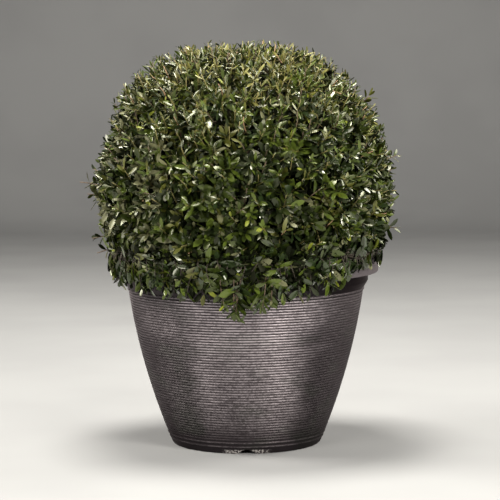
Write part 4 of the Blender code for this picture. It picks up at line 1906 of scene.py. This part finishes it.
    def grow_sprigs(self) -> None:
        """Grow the few sprigs that stand clear of the clipped outline."""
        rng = random.Random(self.seed + 3)
        crown = self.crown
        for longitude, latitude, depth in self.sprigs:
            longitude, latitude = math.radians(longitude), math.radians(latitude)
            root = crown.point(longitude, latitude - 0.05, 0.86)
            end = crown.point(longitude, latitude, depth)
            twig = Twig(root, root.lerp(end, 0.5) + Vector((0, 0, 0.004)), end, 0.0009, 0.0006)
            self.twigs[TwigTone.BROWN].append(twig)
            self.dress(rng, twig, self.tone_at(rng, end), Spray(8, 0.40, 0.85, 0.075))

    def hang(
        self, rng: random.Random, root: Vector, longitude: float, top: float, foot: float, proud: float
    ) -> tuple[Twig, Twig]:
        """Lay one shoot over the rim and down its outside.

        Args:
            rng: The seeded source.
            root: Where it leaves the crown.
            longitude: The direction that it hangs in.
            top: The height at which it crosses the rim.
            foot: The height of its tip.
            proud: How far its tip stands out from the rim.

        Returns:
            Its two lengths: over the rim, and down.
        """
        rim, lift = self.crown.rim_radius, self.hanging.lift
        out = Vector((math.cos(longitude), math.sin(longitude), 0.0))
        over = out * (rim + self.hanging.over_rim) + Vector((0, 0, max(top, foot + 0.002)))
        first = Twig(root, root.lerp(over, 0.5) + Vector((0, 0, lift)), over, 0.0011, 0.0008)
        end = out * (rim + proud) + Vector((0, 0, foot))
        end += Vector((-out.y, out.x, 0.0)) * rng.uniform(-self.hanging.sway, self.hanging.sway)
        bend = out * (rim + self.hanging.past_rim + proud) + Vector((0, 0, (over.z + end.z) / 2.0 + lift))
        return first, Twig(over, bend, end, 0.0008, 0.0005)

    def grow_skirt(self) -> None:
        """Grow the shoots that arch over the rim and hang against its outside."""
        rng = random.Random(self.seed + 1)
        crown, hanging = self.crown, self.hanging
        for number in range(hanging.count):
            turn = number * GOLDEN_ANGLE + rng.uniform(-hanging.jitter, hanging.jitter)
            longitude = turn % FULL_TURN
            low = crown.skirt_height(longitude) + hanging.lowest
            reach = crown.reach_at(longitude)
            height = low + (crown.pot_height + hanging.highest - low) * ((number * hanging.height_step) % 1.0)
            root = crown.point(longitude, crown.lowest_root, rng.uniform(*hanging.root_depth))
            top = crown.pot_height + rng.uniform(*hanging.crossing)
            backing = number % 2 == 0
            proud = reach * rng.uniform(*(hanging.backing_reach if backing else hanging.outer_reach))
            first, second = self.hang(rng, root, longitude, top, height, proud)
            aside = math.cos(longitude) ** 2 > hanging.side_edge
            dark = (backing and not aside) or crown.pocket(*crown.place(second.end)[:2])
            tone = LeafTone.SHADE if dark else self.skirt_tone(rng, self.tone_at(rng, first.end))
            self.twigs[TwigTone.OLD].append(first)
            limit = 0.034 * math.sin(longitude) ** 2 - 0.014
            self.dress(rng, first, tone, Spray(8, 0.40, 1.05, limit))
            if height <= top - 0.004:
                self.twigs[TwigTone.OLD].append(second)
                size = 0.95 if backing else 1.12
                self.dress(rng, second, tone, Spray(11, 0.12, size, 0.02, hanging=True))
        self.grow_tassels(rng)

    def grow_tassels(self, rng: random.Random) -> None:
        """Grow the few longest shoots, which hang below the skirt in front.

        Args:
            rng: The skirt's seeded source.
        """
        crown, hanging = self.crown, self.hanging
        for degrees, foot in hanging.tassels:
            longitude = math.radians(degrees)
            root = crown.point(longitude, crown.lowest_root, hanging.tassel_root)
            top = crown.pot_height + hanging.tassel_crossing
            first, second = self.hang(rng, root, longitude, top, foot, hanging.tassel_reach)
            self.twigs[TwigTone.BROWN] += [first, second]
            tone = rng.choice((LeafTone.FRESH, LeafTone.GREEN, LeafTone.GREEN))
            self.dress(rng, second, tone, Spray(14, 0.35, 1.08, 0.02, hanging=True))

    def build(self) -> None:
        """Grow everything and turn it into joined pieces."""
        self.grow_crown()
        self.grow_shoots()
        self.grow_sprigs()
        self.grow_skirt()
        self.build_twigs()
        self.build_leaves()

    def build_twigs(self) -> None:
        """Join the twigs into one piece for each age."""
        for tone, twigs in self.twigs.items():
            name = tone.name.lower()
            piece = TwigMesh().join("twigs_" + name, twigs)
            coat(piece, [tone.value.make("twig_" + name)])
            hand_over(piece)

    def build_leaves(self) -> None:
        """Join the leaves of each tone into pieces, and let them stand for the masses."""
        nodes = ["foliage_" + name for name in (*SIDE_NAMES, "top")]
        mesher = LeafMesh()
        for tone, leaves in self.leaves.items():
            name = tone.name.lower()
            materials = tone.value.make("leaf_" + name)
            parts = max(1, math.ceil(len(leaves) / mesher.most))
            for part in range(parts):
                ending = "_%d" % (part + 1) if parts > 1 else ""
                piece = mesher.join("leaves_" + name + ending, leaves[part::parts])
                coat(piece, materials)
                hand_over(piece, nodes)
        LOG.info("%d leaves", sum(len(leaves) for leaves in self.leaves.values()))


def joined_mesh(
    name: str, points: np.ndarray, template: Sequence[Sequence[int]], copies: int
) -> bpy.types.Object:
    """Make one object of many copies of a small mesh.

    Args:
        name: The object's name.
        points: Points of all copies, one copy after another.
        template: The faces of one copy, by the places of its points.
        copies: How many copies there are.

    Returns:
        The object, with smooth faces.
    """
    size = len(points) // copies
    corners = np.array([corner for face in template for corner in face])
    lengths = np.array([len(face) for face in template])
    loops = (np.arange(copies)[:, None] * size + corners[None, :]).ravel()
    starts = np.concatenate([[0], np.cumsum(np.tile(lengths, copies))[:-1]])
    mesh = bpy.data.meshes.new(name)
    mesh.vertices.add(len(points))
    mesh.vertices.foreach_set("co", points.astype(np.float32).ravel())
    mesh.loops.add(len(loops))
    mesh.loops.foreach_set("vertex_index", loops.astype(np.int32))
    mesh.polygons.add(len(starts))
    mesh.polygons.foreach_set("loop_start", starts.astype(np.int32))
    mesh.update(calc_edges=True)
    mesh.shade_smooth()
    piece = bpy.data.objects.new(name, mesh)
    bpy.context.scene.collection.objects.link(piece)
    return piece


def rows(vectors: Iterable[Vector]) -> np.ndarray:
    """Return vectors as rows of numbers."""
    return np.array([tuple(vector) for vector in vectors])


def unit(vectors: np.ndarray) -> np.ndarray:
    """Return vectors brought to length 1, row by row."""
    return vectors / np.maximum(np.linalg.norm(vectors, axis=-1, keepdims=True), 1e-9)


@dataclass(frozen=True)
class TwigMesh:
    """Many thin tapering tubes as one mesh."""

    sides: int = 4
    rings: int = 4
    # The share of its direction that is upright, past which a twig is turned from another axis
    upright: float = 0.8

    def template(self) -> list[tuple[int, ...]]:
        """List the faces of one tube, closed at both ends.

        Returns:
            The corners of each face, by the places of the tube's points.
        """
        faces = [tuple(reversed(range(self.sides)))]
        for ring in range(self.rings - 1):
            for side in range(self.sides):
                here, there = ring * self.sides, (ring + 1) * self.sides
                other = (side + 1) % self.sides
                faces.append((here + side, here + other, there + other, there + side))
        last = (self.rings - 1) * self.sides
        faces.append(tuple(range(last, last + self.sides)))
        return faces

    def join(self, name: str, twigs: Sequence[Twig]) -> bpy.types.Object:
        """Sweep every twig and join them.

        Args:
            name: The piece's name.
            twigs: The twigs.

        Returns:
            The joined piece.
        """
        start = rows(twig.start for twig in twigs)
        bend = rows(twig.bend for twig in twigs)
        end = rows(twig.end for twig in twigs)
        thick = np.array([twig.thick for twig in twigs])
        thin = np.array([twig.thin for twig in twigs])
        chord = unit(end - start)
        steep = np.abs(chord[:, 2:3]) > self.upright
        helper = np.where(steep, np.array([[1.0, 0.0, 0.0]]), np.array([[0.0, 0.0, 1.0]]))
        across = np.cross(chord, helper)
        turns = FULL_TURN * np.arange(self.sides) / self.sides
        cosines, sines = np.cos(turns)[None, :, None], np.sin(turns)[None, :, None]
        rings = []
        for share in np.linspace(0.0, 1.0, self.rings):
            middle = start * (1 - share) ** 2 + bend * 2 * share * (1 - share) + end * share**2
            along = unit((bend - start) * (1 - share) + (end - bend) * share)
            first = unit(across - along * np.sum(across * along, axis=1, keepdims=True))
            second = np.cross(along, first)
            radius = (thick + (thin - thick) * share)[:, None, None]
            circle = first[:, None, :] * cosines + second[:, None, :] * sines
            rings.append(middle[:, None, :] + circle * radius)
        points = np.stack(rings, axis=1).reshape(-1, 3)
        return joined_mesh(name, points, self.template(), len(twigs))


@dataclass(frozen=True)
class LeafMesh:
    """Many holly leaves as one mesh: each a closed thin blade with a midrib, widest past its middle."""

    # Across the blade from its base: shares of its length and of its width
    stations: tuple[tuple[float, float], ...] = ((0.20, 0.56), (0.54, 1.0), (0.83, 0.72))
    thickness: float = 0.018
    # Leaves in one piece
    most: int = 8000

    @property
    def size(self) -> int:
        """Points of one leaf: base, tip, and four at each station."""
        return 2 + 4 * len(self.stations)

    def template(self) -> tuple[list[tuple[int, ...]], list[int]]:
        """List the faces of one leaf.

        Returns:
            The corners of each face, and the place of its material: 0 above, 1 beneath.
        """
        count = len(self.stations)
        base, tip = 0, 1
        left = [2 + 4 * i for i in range(count)]
        right = [3 + 4 * i for i in range(count)]
        upper = [4 + 4 * i for i in range(count)]
        lower = [5 + 4 * i for i in range(count)]
        above = [(base, upper[0], left[0]), (base, right[0], upper[0])]
        for i in range(count - 1):
            above.append((left[i], upper[i], upper[i + 1], left[i + 1]))
            above.append((upper[i], right[i], right[i + 1], upper[i + 1]))
        above += [(left[-1], upper[-1], tip), (upper[-1], right[-1], tip)]
        swap = dict(zip(upper, lower))
        beneath = [tuple(swap.get(corner, corner) for corner in reversed(face)) for face in above]
        return above + beneath, [0] * len(above) + [1] * len(beneath)

    def outline(self) -> set[tuple[int, int]]:
        """List the edges round one leaf.

        Returns:
            Ordered pairs of its points.
        """
        pairs = set()
        for side in (2, 3):
            chain = [0] + [side + 4 * i for i in range(len(self.stations))] + [1]
            pairs |= {(min(a, b), max(a, b)) for a, b in zip(chain, chain[1:])}
        return pairs

    def crease(self, mesh: bpy.types.Mesh) -> None:
        """Mark the edges round every leaf as sharp.

        Args:
            mesh: The joined leaves.
        """
        ends = np.zeros(len(mesh.edges) * 2, np.int32)
        mesh.edges.foreach_get("vertices", ends)
        pairs = np.sort(ends.reshape(-1, 2) % self.size, axis=1)
        codes = pairs[:, 0] * self.size + pairs[:, 1]
        sharp = np.isin(codes, [a * self.size + b for a, b in self.outline()])
        mesh.attributes.new("sharp_edge", "BOOLEAN", "EDGE").data.foreach_set("value", sharp)

    def join(self, name: str, leaves: Sequence[Leaf]) -> bpy.types.Object:
        """Shape every leaf and join them.

        Args:
            name: The piece's name.
            leaves: The leaves.

        Returns:
            The joined piece, its blades smooth and creased round their outline.
        """
        along = unit(rows(leaf.along for leaf in leaves))
        facing = rows(leaf.facing for leaf in leaves)
        across = unit(np.cross(along, facing))
        upper = np.cross(across, along)
        root = rows(leaf.root for leaf in leaves)
        length = np.array([leaf.length for leaf in leaves])
        half = np.array([leaf.width for leaf in leaves]) / 2.0
        droop = np.array([leaf.droop for leaf in leaves])
        fold = np.array([leaf.fold for leaf in leaves])

        def spot(x: np.ndarray, share: float, z: np.ndarray) -> np.ndarray:
            """Return the points of all leaves at one place of the blade."""
            lift = z - droop * length * share * share
            return root + across * x[:, None] + along * (share * length)[:, None] + upper * lift[:, None]

        none = np.zeros(len(leaves))
        points = [spot(none, 0.0, none), spot(none, 1.0, none)]
        for share, wide in self.stations:
            edge = half * wide
            raised = fold * edge
            thick = self.thickness * length * wide
            points.append(spot(-edge, share, raised))
            points.append(spot(edge, share, raised))
            points.append(spot(none, share, none))
            points.append(spot(none, share, -thick))
        faces, sides = self.template()
        piece = joined_mesh(name, np.stack(points, axis=1).reshape(-1, 3), faces, len(leaves))
        mesh = piece.data
        mesh.polygons.foreach_set("material_index", np.tile(np.array(sides, np.int32), len(leaves)))
        self.crease(mesh)
        mesh.update()
        return piece


# Studio


@dataclass(frozen=True)
class SoftBox:
    """One rectangular soft light that points at the plant."""

    name: str
    place: Place
    size: tuple[float, float]
    power: float

    def hang(self, aim: Vector, tint: Colour) -> None:
        """Hang the light.

        Args:
            aim: What it points at.
            tint: Its colour.
        """
        place = Vector(self.place)
        deselect()
        bpy.ops.object.light_add(type="AREA", location=place)
        light = bpy.context.active_object
        light.name = self.name
        light.rotation_euler = (aim - place).to_track_quat("-Z", "Y").to_euler()
        light.data.shape = "RECTANGLE"
        light.data.size, light.data.size_y = self.size
        light.data.energy = self.power
        light.data.color = tint


@dataclass
class Studio:
    """Camera at the photograph's place and angle, soft lights, and a plain pale floor."""

    lens: float = 136.8
    sensor: float = 36.0
    distance: float = 2.549
    camera_height: float = 0.480
    camera_side: float = 0.0058
    pitch: float = math.radians(4.96)
    roll: float = math.radians(-0.30)
    light_tint: Colour = (1.0, 0.970, 0.88)
    aim: Place = (0.0, 0.0, 0.28)
    boxes: tuple[SoftBox, ...] = (
        SoftBox("key", (1.62, -2.00, 1.18), (1.00, 0.70), 86.0),
        SoftBox("fill", (-1.55, -2.00, 1.10), (1.5, 0.8), 36.0),
        SoftBox("overhead", (-0.1, 0.15, 2.3), (0.7, 0.6), 68.0),
        SoftBox("rim_left", (-2.35, 0.2, 1.8), (1.2, 1.2), 104.0),
        SoftBox("rim_right", (2.25, 0.7, 1.8), (1.4, 1.2), 66.0),
    )
    world_tint: Colour = (1.0, 0.99, 0.97)
    world_light: float = 0.06
    floor_size: float = 9.0
    wall_height: float = 4.0
    wall_curve: float = 0.9
    wall_segments: int = 16
    margin: float = 0.01

    def camera(self) -> bpy.types.Object:
        """Place the camera.

        Returns:
            The camera.
        """
        deselect()
        bpy.ops.object.camera_add(location=(self.camera_side, -self.distance, self.camera_height))
        camera = bpy.context.active_object
        turn = Matrix.Rotation(math.pi / 2.0 - self.pitch, 4, "X") @ Matrix.Rotation(self.roll, 4, "Z")
        camera.rotation_euler = turn.to_euler()
        camera.data.lens = self.lens
        camera.data.sensor_width = self.sensor
        camera.data.dof.use_dof = False
        bpy.context.scene.camera = camera
        return camera

    def lights(self) -> None:
        """Hang the key light, the fill, one overhead and one behind each side, in a dim world."""
        for box in self.boxes:
            box.hang(Vector(self.aim), self.light_tint)
        world = bpy.data.worlds.new("studio")
        world.use_nodes = True
        background = world.node_tree.nodes["Background"]
        background.inputs["Color"].default_value = (*self.world_tint, 1.0)
        background.inputs["Strength"].default_value = self.world_light
        bpy.context.scene.world = world

    def floor(self) -> bpy.types.Object:
        """Make the floor, swept up into a wall behind the plant.

        Returns:
            The floor.
        """
        deselect()
        back = self.floor_size / 2.0 - self.margin
        bpy.ops.mesh.primitive_plane_add(size=self.floor_size, location=(0.0, 0.0, 0.0))
        floor = started("studio_floor")
        bpy.ops.object.mode_set(mode="EDIT")
        bpy.ops.mesh.select_mode(type="EDGE")
        bpy.ops.mesh.select_all(action="DESELECT")
        bpy.ops.object.mode_set(mode="OBJECT")
        for edge in floor.data.edges:
            edge.select = all(floor.data.vertices[v].co.y > back for v in edge.vertices)
        bpy.ops.object.mode_set(mode="EDIT")
        bpy.ops.mesh.extrude_edges_move(TRANSFORM_OT_translate={"value": (0.0, 0.0, self.wall_height)})
        bpy.ops.mesh.select_all(action="DESELECT")
        bpy.ops.object.mode_set(mode="OBJECT")
        for edge in floor.data.edges:
            ends = [floor.data.vertices[v].co for v in edge.vertices]
            edge.select = all(end.y > back and end.z < self.margin for end in ends)
        bpy.ops.object.mode_set(mode="EDIT")
        bpy.ops.mesh.bevel(offset=self.wall_curve, segments=self.wall_segments, affect="EDGES")
        bpy.ops.mesh.select_all(action="SELECT")
        bpy.ops.mesh.normals_make_consistent(inside=False)
        bpy.ops.mesh.select_mode(type="VERT")
        bpy.ops.object.mode_set(mode="OBJECT")
        bpy.ops.object.shade_smooth()
        coat(floor, [FloorFinish().make("pale_floor")])
        return floor

    def build(self) -> None:
        """Set up the whole studio."""
        self.floor()
        self.lights()
        self.camera()
        bpy.context.scene.view_settings.view_transform = "Standard"
        LOG.info("studio: floor, %d lights and camera", len(self.boxes))


def main() -> None:
    """Load the part and dress it, piece by piece."""
    logging.basicConfig(level=logging.INFO, format="%(message)s")
    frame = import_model()
    pot_low, pot_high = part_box("pot")
    mix_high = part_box("potting_mix")[1]
    trunk_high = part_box("trunk")[1]
    crown = Crown(
        centre=Vector((-0.002, 0.0, 0.344)), radius=0.2115, rise=0.195, drop=0.200,
        pot_height=pot_high.z, rim_radius=pot_high.x,
    )
    Pot(rim_radius=pot_high.x, height=pot_high.z - pot_low.z).build()
    PottingMix(level=mix_high.z, radius=mix_high.x).build(frame["nodes"]["potting_mix"])
    limbs = Limbs(crown=crown, mix_level=mix_high.z, trunk_tip=trunk_high.z).build()
    Foliage(crown=crown, limbs=limbs).build()
    Studio().build()


if __name__ == "__main__":
    main()
